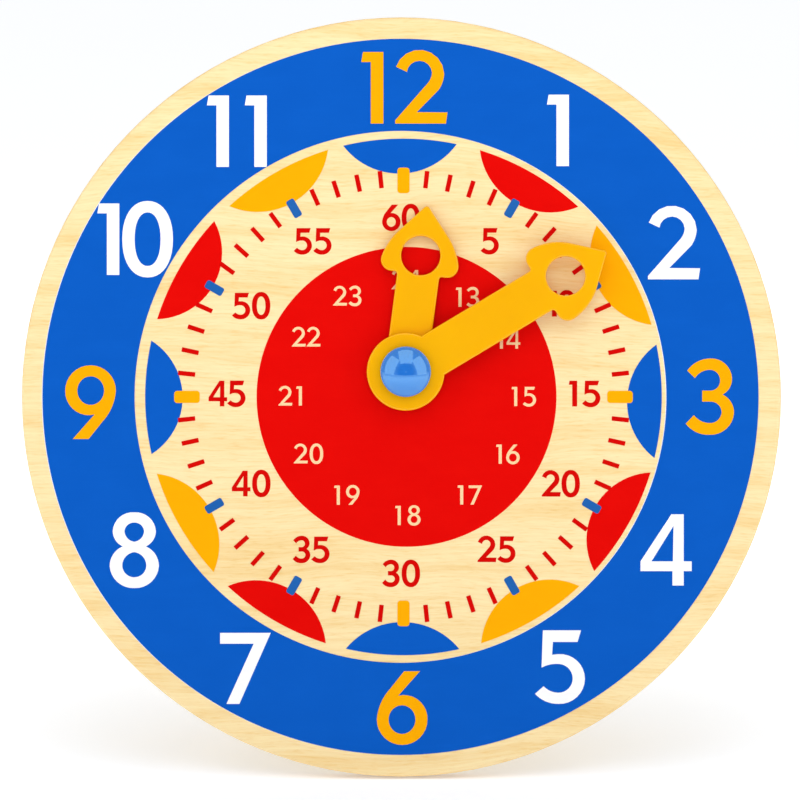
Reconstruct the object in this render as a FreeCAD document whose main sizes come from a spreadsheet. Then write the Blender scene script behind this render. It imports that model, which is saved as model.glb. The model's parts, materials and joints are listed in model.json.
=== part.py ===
"""Geared teaching clock: a round wooden dial on an easel leg, with two hands that keep time together.

Every sub-part is drawn in the dial's own frame: x to the right, y up the dial and z out of its
face, with the origin at the centre of the front face. A placement then leans the dial back and
stands it on the floor, where the row's frame has +Z up, +Y to the back and its origin on the
small flat that the dial rests on.
"""
import FreeCAD, Part
import math
import os

import Sketcher

doc = FreeCAD.newDocument("teaching_clock")
sheet = doc.addObject("Spreadsheet::Sheet", "dims")

# Driving sizes in millimetres and degrees
SIZES = [
    ("lean", 12, "how far the dial leans back from upright"),
    ("board_radius", 150, "dial"),
    ("board_thickness", 9, "plywood of the dial"),
    ("rim_round", 1.5, "rounding of the dial's two edges"),
    ("rest_flat_depth", 0.4, "material sanded off where the dial stands"),
    ("pivot_shift", 1.65, "hands' axis to the right of the dial's centre"),
    ("pivot_rise", 9.9, "hands' axis above the dial's centre"),
    ("running_gap", 0.08, "radial clearance of every turning fit"),
    ("face_gap", 0.2, "axial clearance of every turning fit"),
    ("arbor_radius", 2.5, "steel arbor that carries the minute hand"),
    ("pipe_wall", 1.9, "wall of the hour wheel's pipe"),
    ("bush_wall", 2.4, "wall of the centre bush"),
    ("bush_flange_radius", 11, "front flange of the centre bush"),
    ("bush_flange_thickness", 0.7, "front flange of the centre bush"),
    ("washer_radius", 7.5, "both washers under the hands"),
    ("washer_thickness", 0.5, "both washers under the hands"),
    ("hand_thickness", 3, "both hands"),
    ("hand_edge_round", 0.75, "rounding of the hands' front edge"),
    ("hub_radius", 15.3, "round boss of both hands"),
    ("finger_hole_radius", 7.7, "hole in the head of both hands"),
    ("head_half_width", 15.9, "back corners of the head"),
    ("head_point_reach", 8.5, "finger hole's centre to where the straight sides of the tip start"),
    ("head_point_half_width", 10, "where the straight sides of the tip start"),
    ("head_tip_radius", 1.3, "rounding of the tip"),
    ("head_corner_radius", 4.4, "rounding of the head's back corners"),
    ("notch_radius", 1.2, "hollow corner between the head and the shaft"),
    ("hour_hole_reach", 46.2, "hands' axis to the finger hole"),
    ("hour_head_back", 7.4, "finger hole's centre to the head's back edge"),
    ("hour_head_nose", 20.3, "finger hole's centre to the tip before it is rounded"),
    ("hour_shaft_width", 16.7, "hour hand"),
    ("hour_angle", 7.4, "hour hand clockwise from twelve at rest"),
    ("minute_hole_reach", 73.4, "hands' axis to the finger hole"),
    ("minute_head_back", 10.5, "finger hole's centre to the head's back edge"),
    ("minute_head_nose", 19.1, "finger hole's centre to the tip before it is rounded"),
    ("minute_shaft_width", 17.7, "minute hand"),
    ("minute_angle", 59.1, "minute hand clockwise from twelve at rest"),
    ("cap_radius", 9.9, "domed cap on the hands' axis"),
    ("cap_wall", 1.6, "domed cap"),
    ("cap_skirt", 2.2, "straight part under the dome"),
    ("cap_rise", 4.8, "dome over its straight part"),
    ("grip_ring_height", 3.6, "ring that holds the cap on the arbor"),
    ("gear_module", 0.8, "first gear pair"),
    ("pressure_angle", 25, "both gear pairs"),
    ("minute_pinion_teeth", 15, "pinion on the arbor"),
    ("first_ratio", 3, "idler wheel's teeth over the minute pinion's"),
    ("idler_pinion_teeth", 12, "pinion of the idler"),
    ("second_ratio", 4, "hour wheel's teeth over the idler pinion's"),
    ("tooth_backlash", 0.16, "play between meshed teeth, along the pitch circle"),
    ("gear_width", 4, "face width of the wheels"),
    ("gear_side_gap", 0.8, "space between a wheel and its neighbour"),
    ("idler_post_radius", 2, "steel post of the idler"),
    ("clip_width", 2, "retaining clip on the idler post"),
    ("clip_thickness", 0.6, "retaining clip on the idler post"),
    ("clip_groove_depth", 0.5, "groove for the clip"),
    ("case_floor", 2, "gear case's plate against the dial"),
    ("case_wall", 2, "gear case"),
    ("case_cover_thickness", 2, "clear cover of the gear case"),
    ("case_tooth_gap", 1, "gear teeth to the case's wall"),
    ("case_end_gap", 1.6, "idler's back face to the cover"),
    ("lug_radius", 4, "screw lugs of the gear case"),
    ("lug_angle", 30, "screw lugs, above and below the two gear axes"),
    ("case_screw_radius", 1.4, "self-tapping case screws"),
    ("case_screw_bite", 6, "length of the case screws in the dial"),
    ("screw_hole_gap", 0.3, "clearance holes round the case screws"),
    ("screw_head_radius", 2.9, "case screws and knob screw"),
    ("screw_head_height", 1.8, "case screws and knob screw"),
    ("slot_width", 1, "cross slot in every screw head"),
    ("slot_depth", 0.9, "cross slot in every screw head"),
    ("knob_radius", 14, "setting knob behind the case"),
    ("knob_length", 12, "setting knob"),
    ("knob_flutes", 18, "finger grooves round the setting knob"),
    ("flute_radius", 1.3, "finger grooves round the setting knob"),
    ("knob_round", 1, "rounded edges of the setting knob"),
    ("knob_seat_depth", 4, "recess for the knob's screw"),
    ("knob_screw_radius", 1.25, "knob's screw in the arbor"),
    ("knob_screw_length", 7, "knob's screw in the arbor"),
    ("friction_washer_thickness", 0.8, "fibre washer under the knob"),
    ("hinge_rise", 86, "leg's hinge above the dial's centre"),
    ("hinge_length", 40, "butt hinge"),
    ("knuckle_radius", 2.6, "butt hinge"),
    ("knuckle_gap", 0.3, "between the hinge's knuckles"),
    ("hinge_stand_off", 0.2, "knuckles to the wood on both sides"),
    ("hinge_pin_radius", 1.25, "butt hinge"),
    ("hinge_pin_head", 0.8, "head at each end of the hinge's pin"),
    ("leaf_thickness", 1.2, "butt hinge"),
    ("leaf_height", 20, "butt hinge"),
    ("leaf_screw_radius", 1.2, "wood screws of the hinge"),
    ("leaf_screw_head_radius", 2.8, "countersunk heads of the hinge's screws"),
    ("leaf_screw_head_depth", 1, "countersunk heads of the hinge's screws"),
    ("leaf_screw_bite", 3, "length of the hinge's screws in the wood"),
    ("leaf_screw_spread", 13, "outer screws to the middle of the hinge"),
    ("leaf_screw_drop", 8.5, "outer screws below the hinge's pin"),
    ("leaf_screw_low_drop", 16, "middle screw below the hinge's pin"),
    ("leg_open_angle", 20, "angle between the dial and the leg when it stands"),
    ("leg_thickness", 5, "plywood of the leg"),
    ("leg_half_width", 42, "leg"),
    ("rail_width", 11, "both side rails of the leg"),
    ("leg_corner_round", 6, "corners of the leg and of its window"),
    ("window_gap", 8, "leg's window above and below the gear case when folded"),
    ("foot_height", 72, "arch between the leg's feet"),
    ("pad_thickness", 1.5, "rubber pads under the feet"),
    ("pad_overhang", 0.5, "pads past the wood on every side"),
]

for row, (alias, value, note) in enumerate(SIZES, start=1):
    sheet.set(f"A{row}", alias.replace("_", " "))
    sheet.set(f"B{row}", str(value))
    sheet.setAlias(f"B{row}", alias)
    sheet.set(f"C{row}", note)
doc.recompute()


def number(expression):
    """Work out an expression of the sheet's sizes."""
    return float(sheet.evalExpression(expression))


# Frames: the dial's own frame on the floor, and the leg's frame on its hinge
FOOT_FALL = "(dims.board_radius - dims.rim_round)"
FOOT_BACK = "(dims.board_thickness - dims.rim_round)"
CENTRE_HEIGHT = (
    f"({FOOT_FALL} * cos(dims.lean * 1deg) + {FOOT_BACK} * sin(dims.lean * 1deg)"
    " + dims.rim_round - dims.rest_flat_depth)"
)
CENTRE_BACK = f"({FOOT_FALL} * sin(dims.lean * 1deg) - {FOOT_BACK} * cos(dims.lean * 1deg))"
DIAL_FRAME = (
    f"placement(vector(0; {CENTRE_BACK}; {CENTRE_HEIGHT}); rotation(vector(1; 0; 0); 90 - dims.lean))"
)
HINGE_OFFSET = "(dims.knuckle_radius + dims.hinge_stand_off)"
HINGE_BACK = f"(dims.board_thickness + {HINGE_OFFSET})"
LEG_FRAME = (
    f"{DIAL_FRAME} * placement(vector(0; dims.hinge_rise; -{HINGE_BACK});"
    " rotation(vector(1; 0; 0); dims.leg_open_angle))"
)
HINGE_HEIGHT = (
    f"({CENTRE_HEIGHT} + dims.hinge_rise * cos(dims.lean * 1deg) - {HINGE_BACK} * sin(dims.lean * 1deg))"
)

# Radii of the running fits, from the arbor outwards
PIPE_BORE = "(dims.arbor_radius + dims.running_gap)"
PIPE_RADIUS = f"({PIPE_BORE} + dims.pipe_wall)"
BUSH_BORE = f"({PIPE_RADIUS} + dims.running_gap)"
BUSH_RADIUS = f"({BUSH_BORE} + dims.bush_wall)"

# Heights of the pieces in front of the dial
HOUR_WASHER = "(dims.bush_flange_thickness + dims.face_gap)"
HOUR_HAND = f"({HOUR_WASHER} + dims.washer_thickness)"
HOUR_FRONT = f"({HOUR_HAND} + dims.hand_thickness)"
MINUTE_WASHER = f"({HOUR_FRONT} + dims.face_gap)"
MINUTE_HAND = f"({MINUTE_WASHER} + dims.washer_thickness)"
MINUTE_FRONT = f"({MINUTE_HAND} + dims.hand_thickness)"

# Depths of the pieces behind the dial, all negative
BACK = "(-dims.board_thickness)"
FLOOR_BACK = f"({BACK} - dims.case_floor)"
HOUR_WHEEL_FRONT = f"({FLOOR_BACK} - dims.face_gap)"
HOUR_WHEEL_BACK = f"({HOUR_WHEEL_FRONT} - dims.gear_width)"
IDLER_WHEEL_FRONT = f"({HOUR_WHEEL_BACK} - dims.gear_side_gap)"
IDLER_BACK = f"({IDLER_WHEEL_FRONT} - dims.gear_width)"
PINION_FRONT = f"({HOUR_WHEEL_BACK} - dims.gear_side_gap / 2)"
PINION_BACK = f"({IDLER_BACK} - dims.gear_side_gap / 2)"
COVER_FRONT = f"({IDLER_BACK} - dims.case_end_gap)"
COVER_BACK = f"({COVER_FRONT} - dims.case_cover_thickness)"
KNOB_FRONT = f"({COVER_BACK} - dims.face_gap - dims.friction_washer_thickness)"
KNOB_BACK = f"({KNOB_FRONT} - dims.knob_length)"
ARBOR_BACK = f"({KNOB_BACK} + dims.knob_seat_depth)"

# Gear train: two pairs on the same centre distance, together twelve to one
PINION_TEETH = round(number("dims.minute_pinion_teeth"))
IDLER_TEETH = round(PINION_TEETH * number("dims.first_ratio"))
IDLER_PINION_TEETH = round(number("dims.idler_pinion_teeth"))
HOUR_TEETH = round(IDLER_PINION_TEETH * number("dims.second_ratio"))
GEAR_CENTRES = number("dims.gear_module") * (PINION_TEETH + IDLER_TEETH) / 2
SECOND_MODULE = 2 * GEAR_CENTRES / (IDLER_PINION_TEETH + HOUR_TEETH)
ADDENDUM = 0.95
DEDENDUM = 1.2
LARGEST_GEAR_RADIUS = GEAR_CENTRES - SECOND_MODULE * IDLER_PINION_TEETH / 2 + ADDENDUM * SECOND_MODULE
CASE_BORE = f"({LARGEST_GEAR_RADIUS} + dims.case_tooth_gap)"
CASE_RADIUS = f"({CASE_BORE} + dims.case_wall)"
LUG_REACH = f"({CASE_BORE} + dims.lug_radius)"


def place(part, x="0", y="0", z="0", turn="0", frame=DIAL_FRAME):
    """Put a sub-part into its frame; the turn is counter-clockwise seen from the front."""
    spot = f"placement(vector({x}; {y}; {z}); rotation(vector(0; 0; 1); {turn}))"
    part.setExpression("Placement", f"{frame} * {spot}")


def on_pivot(part, z="0", turn="0"):
    """Put a sub-part on the axis of the hands."""
    place(part, "dims.pivot_shift", "dims.pivot_rise", z, turn)


def new_body(label):
    """Start a sub-part made of sketches and features."""
    body = doc.addObject("PartDesign::Body", label)
    body.Label = label
    return body


def new_sketch(body, plane="XY_Plane", lift="0", shift="0"):
    """Start a sketch on one of the body's own origin planes, lifted off it or shifted in x."""
    sketch = body.newObject("Sketcher::SketchObject", f"{body.Name}_sketch")
    support = [feature for feature in body.Origin.OriginFeatures if feature.Role == plane][0]
    sketch.AttachmentSupport = [(support, "")]
    sketch.MapMode = "FlatFace"
    sketch.setExpression("AttachmentOffset.Base.x", shift)
    sketch.setExpression("AttachmentOffset.Base.z", lift)
    return sketch


def tie(sketch, kind, places, expression):
    """Add a dimension to the sketch and bind it to the sheet."""
    index = sketch.addConstraint(Sketcher.Constraint(kind, *places, number(expression)))
    sketch.setExpression(f"Constraints[{index}]", expression)


def tie_point(sketch, curve, end, x, y):
    """Fix one point of a curve at x, y from the sketch's origin."""
    tie(sketch, "DistanceX", (-1, 1, curve, end), x)
    tie(sketch, "DistanceY", (-1, 1, curve, end), y)


def add_circle(sketch, radius, x="0", y="0"):
    """Draw a circle whose radius and centre are bound to the sheet."""
    centre = FreeCAD.Vector(number(x), number(y), 0)
    circle = Part.Circle(centre, FreeCAD.Vector(0, 0, 1), number(radius))
    curve = sketch.addGeometry(circle, False)
    tie_point(sketch, curve, 3, x, y)
    tie(sketch, "Radius", (curve,), radius)


def add_outline(sketch, corners):
    """Draw a closed outline, counter-clockwise.

    A corner is (x, y), or (x, y, radius) where the side that leaves it is an arc of that radius;
    (x, y, radius, -1) makes that arc hollow.
    """
    points = [FreeCAD.Vector(number(corner[0]), number(corner[1]), 0) for corner in corners]
    curves = []
    for index, corner in enumerate(corners):
        start = points[index]
        finish = points[(index + 1) % len(points)]
        if len(corner) == 2:
            curves.append((sketch.addGeometry(Part.LineSegment(start, finish), False), 1, 2))
            continue
        radius = number(corner[2])
        side = -1 if len(corner) == 4 else 1
        half = (finish - start) / 2
        left = FreeCAD.Vector(-half.y, half.x, 0).normalize()
        centre = start + half + left * (side * math.sqrt(max(radius ** 2 - half.Length ** 2, 0)))
        first, last = (start, finish) if side > 0 else (finish, start)
        circle = Part.Circle(centre, FreeCAD.Vector(0, 0, 1), radius)
        angles = [math.atan2(point.y - centre.y, point.x - centre.x) for point in (first, last)]
        if angles[1] < angles[0]:
            angles[1] += 2 * math.pi
        curve = sketch.addGeometry(Part.ArcOfCircle(circle, *angles), False)
        curves.append((curve, 1, 2) if side > 0 else (curve, 2, 1))
    for index, (curve, start, finish) in enumerate(curves):
        following, following_start, _ = curves[(index + 1) % len(curves)]
        sketch.addConstraint(Sketcher.Constraint("Coincident", curve, finish, following, following_start))
        tie_point(sketch, curve, start, corners[index][0], corners[index][1])
        if len(corners[index]) > 2:
            tie(sketch, "Radius", (curve,), corners[index][2])


def add_box_outline(sketch, left, low, right, high):
    """Draw a rectangle between two corners."""
    add_outline(sketch, [(left, low), (right, low), (right, high), (left, high)])


def pad(body, sketch, length, both_ways=False):
    """Raise the sketch by a length, or to both sides of its plane."""
    feature = body.newObject("PartDesign::Pad", f"{body.Name}_pad")
    feature.Profile = sketch
    feature.SideType = "Symmetric" if both_ways else "One side"
    feature.setExpression("Length", length)
    return feature


def pocket(body, sketch, length=None, up=False):
    """Cut the sketch away: right through both ways, or by a length below or above its plane."""
    before = volume(body)
    feature = body.newObject("PartDesign::Pocket", f"{body.Name}_pocket")
    feature.Profile = sketch
    if length is None:
        feature.Type = "ThroughAll"
        feature.SideType = "Symmetric"
    else:
        feature.Reversed = up
        feature.setExpression("Length", length)
    check_cut(body, before)
    return feature


def revolve(body, sketch, groove=False):
    """Turn the sketch about its upright axis, as a solid or as a cut."""
    before = volume(body) if groove else None
    kind = "Groove" if groove else "Revolution"
    feature = body.newObject(f"PartDesign::{kind}", f"{body.Name}_{kind.lower()}")
    feature.Profile = sketch
    feature.ReferenceAxis = (sketch, ["V_Axis"])
    feature.Angle = 360
    if groove:
        check_cut(body, before)
    return feature


def volume(body):
    """Volume of a body after its latest feature."""
    doc.recompute()
    return body.Shape.Volume


def check_cut(body, before):
    """Stop if a cut took nothing away."""
    if volume(body) >= before - 1e-6:
        raise RuntimeError(f"{body.Label}: a cut removes nothing")


def round_edges(body, radius, wanted):
    """Round the edges of the body's latest feature that the test picks."""
    doc.recompute()
    base = body.Tip
    names = [f"Edge{i}" for i, edge in enumerate(base.Shape.Edges, start=1) if wanted(edge)]
    feature = body.newObject("PartDesign::Fillet", f"{body.Name}_fillet")
    feature.Base = (base, names)
    feature.setExpression("Radius", radius)
    return feature


def lies_at(height):
    """A test for edges that lie whole at one height of their body."""
    level = number(height)

    def test(edge):
        box = edge.BoundBox
        return abs(box.ZMin - level) < 1e-4 and abs(box.ZMax - level) < 1e-4

    return test


def stands_at(x, y):
    """A test for upright edges at one place of their body, or its mirror image."""
    across = number(x)
    along = number(y)

    def test(edge):
        box = edge.BoundBox
        upright = box.XLength < 1e-4 and box.YLength < 1e-4
        return upright and abs(abs(box.XMax) - across) < 1e-4 and abs(box.YMax - along) < 1e-4

    return test


def turned(label, profile):
    """A piece turned about its z axis, from its half profile of (radius, height) corners."""
    body = new_body(label)
    sketch = new_sketch(body, "XZ_Plane")
    add_outline(sketch, profile)
    revolve(body, sketch)
    return body


def ring_profile(bore, radius, low, high):
    """Half profile of a plain ring."""
    return [(bore, low), (radius, low), (radius, high), (bore, high)]


# Dial board: a plywood disc with rounded edges, a bush hole, pilot holes and a small rest flat
CASE_CENTRES = [("0", "0"), ("0", f"(-{GEAR_CENTRES})")]
LUG_SPOTS = [
    (f"({side} * {LUG_REACH} * cos(dims.lug_angle * 1deg))",
     f"({shift} + {end} * {LUG_REACH} * sin(dims.lug_angle * 1deg))")
    for end, (_, shift) in ((1, CASE_CENTRES[0]), (-1, CASE_CENTRES[1]))
    for side in (1, -1)
]
LEAF_SCREW_SPOTS = [
    ("-dims.leaf_screw_spread", "-dims.leaf_screw_drop"),
    ("0", "-dims.leaf_screw_low_drop"),
    ("dims.leaf_screw_spread", "-dims.leaf_screw_drop"),
]


def make_dial_board():
    body = new_body("dial_board")
    disc = new_sketch(body, lift=BACK)
    add_circle(disc, "dims.board_radius")
    pad(body, disc, "dims.board_thickness")
    round_edges(body, "dims.rim_round", lambda edge: True)
    rest = new_sketch(body, "YZ_Plane")
    slope = "tan(dims.lean * 1deg)"
    floor_line = f"(-{CENTRE_HEIGHT} / cos(dims.lean * 1deg)"
    margin = "dims.board_thickness"
    add_outline(rest, [
        (f"{floor_line} + 2 * {margin} * {slope})", f"-2 * {margin}"),
        (f"{floor_line} - {margin} * {slope})", margin),
        (f"-dims.board_radius - 2 * {margin}", margin),
        (f"-dims.board_radius - 2 * {margin}", f"-2 * {margin}"),
    ])
    pocket(body, rest)
    hole = new_sketch(body)
    add_circle(hole, BUSH_RADIUS, "dims.pivot_shift", "dims.pivot_rise")
    pocket(body, hole)
    pilots = new_sketch(body, lift=BACK)
    for x, y in LUG_SPOTS:
        add_circle(pilots, "dims.case_screw_radius", f"dims.pivot_shift + {x}", f"dims.pivot_rise + {y}")
    pocket(body, pilots, "dims.case_screw_bite", up=True)
    leaf_pilots = new_sketch(body, lift=BACK)
    for x, y in LEAF_SCREW_SPOTS:
        add_circle(leaf_pilots, "dims.leaf_screw_radius", x, f"dims.hinge_rise + {y}")
    pocket(body, leaf_pilots, "dims.leaf_screw_bite", up=True)
    place(body)
    return body


# Centre bush: a flanged sleeve pressed through the dial and the gear case's floor
def make_centre_bush():
    body = turned("centre_bush", [
        (BUSH_BORE, FLOOR_BACK),
        (BUSH_RADIUS, FLOOR_BACK),
        (BUSH_RADIUS, "0"),
        ("dims.bush_flange_radius", "0"),
        ("dims.bush_flange_radius", "dims.bush_flange_thickness"),
        (BUSH_BORE, "dims.bush_flange_thickness"),
    ])
    on_pivot(body)
    return body


# Gear case: a tray behind the dial and a clear cover, held by the same four screws
def add_case_outline(sketch, radius):
    """Draw the round-ended outline about both gear axes."""
    low = CASE_CENTRES[1][1]
    add_outline(sketch, [
        (radius, low),
        (radius, "0", radius),
        ("0", radius, radius),
        (f"-{radius}", "0"),
        (f"-{radius}", low, radius),
        ("0", f"{low} - {radius}", radius),
    ])


def pad_lugs(body, low, height):
    """Raise the four screw lugs."""
    for x, y in LUG_SPOTS:
        lug = new_sketch(body, lift=low)
        add_circle(lug, "dims.lug_radius", x, y)
        pad(body, lug, height)


def bore_lugs(body):
    """Drill the clearance holes of the case screws."""
    holes = new_sketch(body)
    for x, y in LUG_SPOTS:
        add_circle(holes, "dims.case_screw_radius + dims.screw_hole_gap", x, y)
    pocket(body, holes)


def make_gear_case_base():
    body = new_body("gear_case_base")
    height = f"{BACK} - {COVER_FRONT}"
    outer = new_sketch(body, lift=COVER_FRONT)
    add_case_outline(outer, CASE_RADIUS)
    pad(body, outer, height)
    pad_lugs(body, COVER_FRONT, height)
    inner = new_sketch(body, lift=FLOOR_BACK)
    add_case_outline(inner, CASE_BORE)
    pocket(body, inner, f"{FLOOR_BACK} - {COVER_FRONT}")
    holes = new_sketch(body)
    add_circle(holes, BUSH_RADIUS)
    add_circle(holes, "dims.idler_post_radius", *CASE_CENTRES[1])
    pocket(body, holes)
    bore_lugs(body)
    on_pivot(body)
    return body


def make_gear_case_cover():
    body = new_body("gear_case_cover")
    plate = new_sketch(body, lift=COVER_BACK)
    add_case_outline(plate, CASE_RADIUS)
    pad(body, plate, "dims.case_cover_thickness")
    pad_lugs(body, COVER_BACK, "dims.case_cover_thickness")
    hole = new_sketch(body)
    add_circle(hole, PIPE_BORE)
    pocket(body, hole)
    bore_lugs(body)
    on_pivot(body)
    return body


def cross_slot(top, reach):
    """The two crossed slots in a screw's head, as a cutter below a height."""
    width = number("dims.slot_width")
    depth = number("dims.slot_depth")
    corner = FreeCAD.Vector(-reach, -width / 2, top - depth)
    first = Part.makeBox(2 * reach, width, 2 * depth, corner)
    second = first.copy()
    second.rotate(FreeCAD.Vector(0, 0, 0), FreeCAD.Vector(0, 0, 1), 90)
    return first.fuse(second)


def pan_screw(shank_radius, length):
    """A pan-head screw that points down its z axis, with the head's underside at zero."""
    radius = number("dims.screw_head_radius")
    height = number("dims.screw_head_height")
    head = Part.makeCylinder(radius, height)
    head = head.makeFillet(height / 3, [edge for edge in head.Edges if edge.BoundBox.ZMin > height - 0.01])
    shank = Part.makeCylinder(shank_radius, length, FreeCAD.Vector(0, 0, -length))
    return head.fuse(shank).cut(cross_slot(height, radius * 0.6)).removeSplitter()


def countersunk_screw():
    """A flat-head wood screw that points down its z axis, with the head's top at zero."""
    top_radius = number("dims.leaf_screw_head_radius")
    radius = number("dims.leaf_screw_radius")
    depth = number("dims.leaf_screw_head_depth")
    length = number("dims.leaf_thickness + dims.leaf_screw_bite")
    head = Part.makeCone(radius, top_radius, depth, FreeCAD.Vector(0, 0, -depth))
    shank = Part.makeCylinder(radius, length, FreeCAD.Vector(0, 0, -length))
    return head.fuse(shank).cut(cross_slot(0, top_radius * 0.6)).removeSplitter()


def group(label, shape, spots):
    """One sub-part of several like solids: the shape, facing the back, at each spot."""
    solids = []
    for x, y, z in spots:
        copy = shape.copy()
        copy.rotate(FreeCAD.Vector(0, 0, 0), FreeCAD.Vector(1, 0, 0), 180)
        copy.translate(FreeCAD.Vector(number(x), number(y), number(z)))
        solids.append(copy)
    part = doc.addObject("Part::Feature", label)
    part.Label = label
    part.Shape = Part.makeCompound(solids)
    return part


def make_case_screws():
    length = number(f"{BACK} - {COVER_BACK} + dims.case_screw_bite")
    screw = pan_screw(number("dims.case_screw_radius"), length)
    part = group("case_screws", screw, [(x, y, COVER_BACK) for x, y in LUG_SPOTS])
    on_pivot(part)
    return part


# Idler: a steel post in the case's floor, a wheel and pinion in one piece, and a clip
CLIP_FRONT = f"({IDLER_BACK} - dims.face_gap)"
CLIP_BACK = f"({CLIP_FRONT} - dims.clip_thickness)"
GROOVE_RADIUS = "(dims.idler_post_radius - dims.clip_groove_depth)"


def on_idler_axis(part, z="0", turn="0"):
    """Put a sub-part on the idler's axis, straight below the axis of the hands."""
    place(part, "dims.pivot_shift", f"dims.pivot_rise - {GEAR_CENTRES}", z, turn)


def make_idler_post():
    body = turned("idler_post", [
        ("0", f"{CLIP_BACK} - dims.clip_thickness"),
        ("dims.idler_post_radius", f"{CLIP_BACK} - dims.clip_thickness"),
        ("dims.idler_post_radius", CLIP_BACK),
        (GROOVE_RADIUS, CLIP_BACK),
        (GROOVE_RADIUS, CLIP_FRONT),
        ("dims.idler_post_radius", CLIP_FRONT),
        ("dims.idler_post_radius", BACK),
        ("0", BACK),
    ])
    on_idler_axis(body)
    return body


def make_idler_clip():
    body = turned("idler_clip", ring_profile(
        GROOVE_RADIUS, "dims.idler_post_radius + dims.clip_width", CLIP_BACK, CLIP_FRONT))
    mouth = new_sketch(body)
    half = f"{GROOVE_RADIUS} * 0.8"
    add_box_outline(mouth, f"-{half}", "-dims.idler_post_radius - 2 * dims.clip_width", half, "0")
    pocket(body, mouth)
    on_idler_axis(body)
    return body


def involute_flank(base_radius, tip_radius, root_radius, half_angle):
    """Points on the upper side of a tooth centred on the x axis, from its root to its tip."""
    start = max(root_radius, base_radius)
    points = []
    for step in range(7):
        radius = start + (tip_radius - start) * step / 6
        roll = math.sqrt(max((radius / base_radius) ** 2 - 1, 0))
        angle = half_angle - (roll - math.atan(roll))
        points.append(FreeCAD.Vector(radius * math.cos(angle), radius * math.sin(angle), 0))
    return points


def gear_solid(teeth, module, low, height, first_tooth):
    """A spur gear with involute teeth; one tooth is centred on the angle of first_tooth."""
    pressure = math.radians(number("dims.pressure_angle"))
    pitch_radius = teeth * module / 2
    base_radius = pitch_radius * math.cos(pressure)
    tip_radius = pitch_radius + ADDENDUM * module
    root_radius = pitch_radius - DEDENDUM * module
    tooth = math.pi * module / 2 - number("dims.tooth_backlash") / 2
    half_angle = tooth / 2 / pitch_radius + math.tan(pressure) - pressure
    upper = involute_flank(base_radius, tip_radius, root_radius, half_angle)
    lower = [FreeCAD.Vector(point.x, -point.y, 0) for point in upper]
    foot = root_radius * 0.9
    foot_angle = math.atan2(upper[0].y, upper[0].x)
    upper_foot = FreeCAD.Vector(foot * math.cos(foot_angle), foot * math.sin(foot_angle), 0)
    lower_foot = FreeCAD.Vector(upper_foot.x, -upper_foot.y, 0)
    upper_curve = Part.BSplineCurve()
    upper_curve.interpolate(upper)
    lower_curve = Part.BSplineCurve()
    lower_curve.interpolate(lower)
    outline = Part.Wire([
        Part.LineSegment(lower_foot, lower[0]).toShape(),
        lower_curve.toShape(),
        Part.Arc(lower[-1], FreeCAD.Vector(tip_radius, 0, 0), upper[-1]).toShape(),
        upper_curve.toShape(),
        Part.LineSegment(upper[0], upper_foot).toShape(),
        Part.LineSegment(upper_foot, lower_foot).toShape(),
    ])
    tooth_solid = Part.Face(outline).extrude(FreeCAD.Vector(0, 0, height))
    copies = []
    for index in range(teeth):
        copy = tooth_solid.copy()
        turn = first_tooth + 360 * index / teeth
        copy.rotate(FreeCAD.Vector(0, 0, 0), FreeCAD.Vector(0, 0, 1), turn)
        copies.append(copy)
    solid = Part.makeCylinder(root_radius, height).multiFuse(copies)
    solid.translate(FreeCAD.Vector(0, 0, low))
    return solid


def tube(radius, low, high):
    """A cylinder between two heights."""
    return Part.makeCylinder(radius, high - low, FreeCAD.Vector(0, 0, low))


def gear_part(label, shape):
    """Store a gear's finished shape as a sub-part."""
    part = doc.addObject("Part::Feature", label)
    part.Label = label
    part.Shape = shape.removeSplitter()
    return part


# Teeth meet on the line between the two axes: a tooth of the upper gear in a gap of the lower one
DOWN = -90
UP = 90


def make_minute_pinion():
    low = number(PINION_BACK)
    height = number(PINION_FRONT) - low
    gear = gear_solid(PINION_TEETH, number("dims.gear_module"), low, height, DOWN)
    bore = tube(number("dims.arbor_radius"), low - 1, low + height + 1)
    part = gear_part("minute_pinion", gear.cut(bore))
    on_pivot(part)
    return part


def make_idler_gear():
    low = number(IDLER_BACK)
    step = number(IDLER_WHEEL_FRONT)
    high = number(HOUR_WHEEL_FRONT)
    half_gap = 180 / IDLER_TEETH
    wheel = gear_solid(IDLER_TEETH, number("dims.gear_module"), low, step - low, UP + half_gap)
    half_gap = 180 / IDLER_PINION_TEETH
    pinion = gear_solid(IDLER_PINION_TEETH, SECOND_MODULE, step, high - step, UP + half_gap)
    bore = tube(number("dims.idler_post_radius + dims.running_gap"), low - 1, high + 1)
    part = gear_part("idler_gear", wheel.fuse(pinion).cut(bore))
    on_idler_axis(part)
    return part


# Hour wheel: its pipe runs forward through the centre bush and carries the hour hand
def make_hour_wheel():
    low = number(HOUR_WHEEL_BACK)
    high = number(HOUR_WHEEL_FRONT)
    front = number(HOUR_FRONT)
    wheel = gear_solid(HOUR_TEETH, SECOND_MODULE, low, high - low, DOWN)
    pipe = tube(number(PIPE_RADIUS), high - 0.5, front)
    bore = tube(number(PIPE_BORE), low - 1, front + 1)
    part = gear_part("hour_wheel", wheel.fuse(pipe).cut(bore))
    on_pivot(part)
    return part


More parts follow.
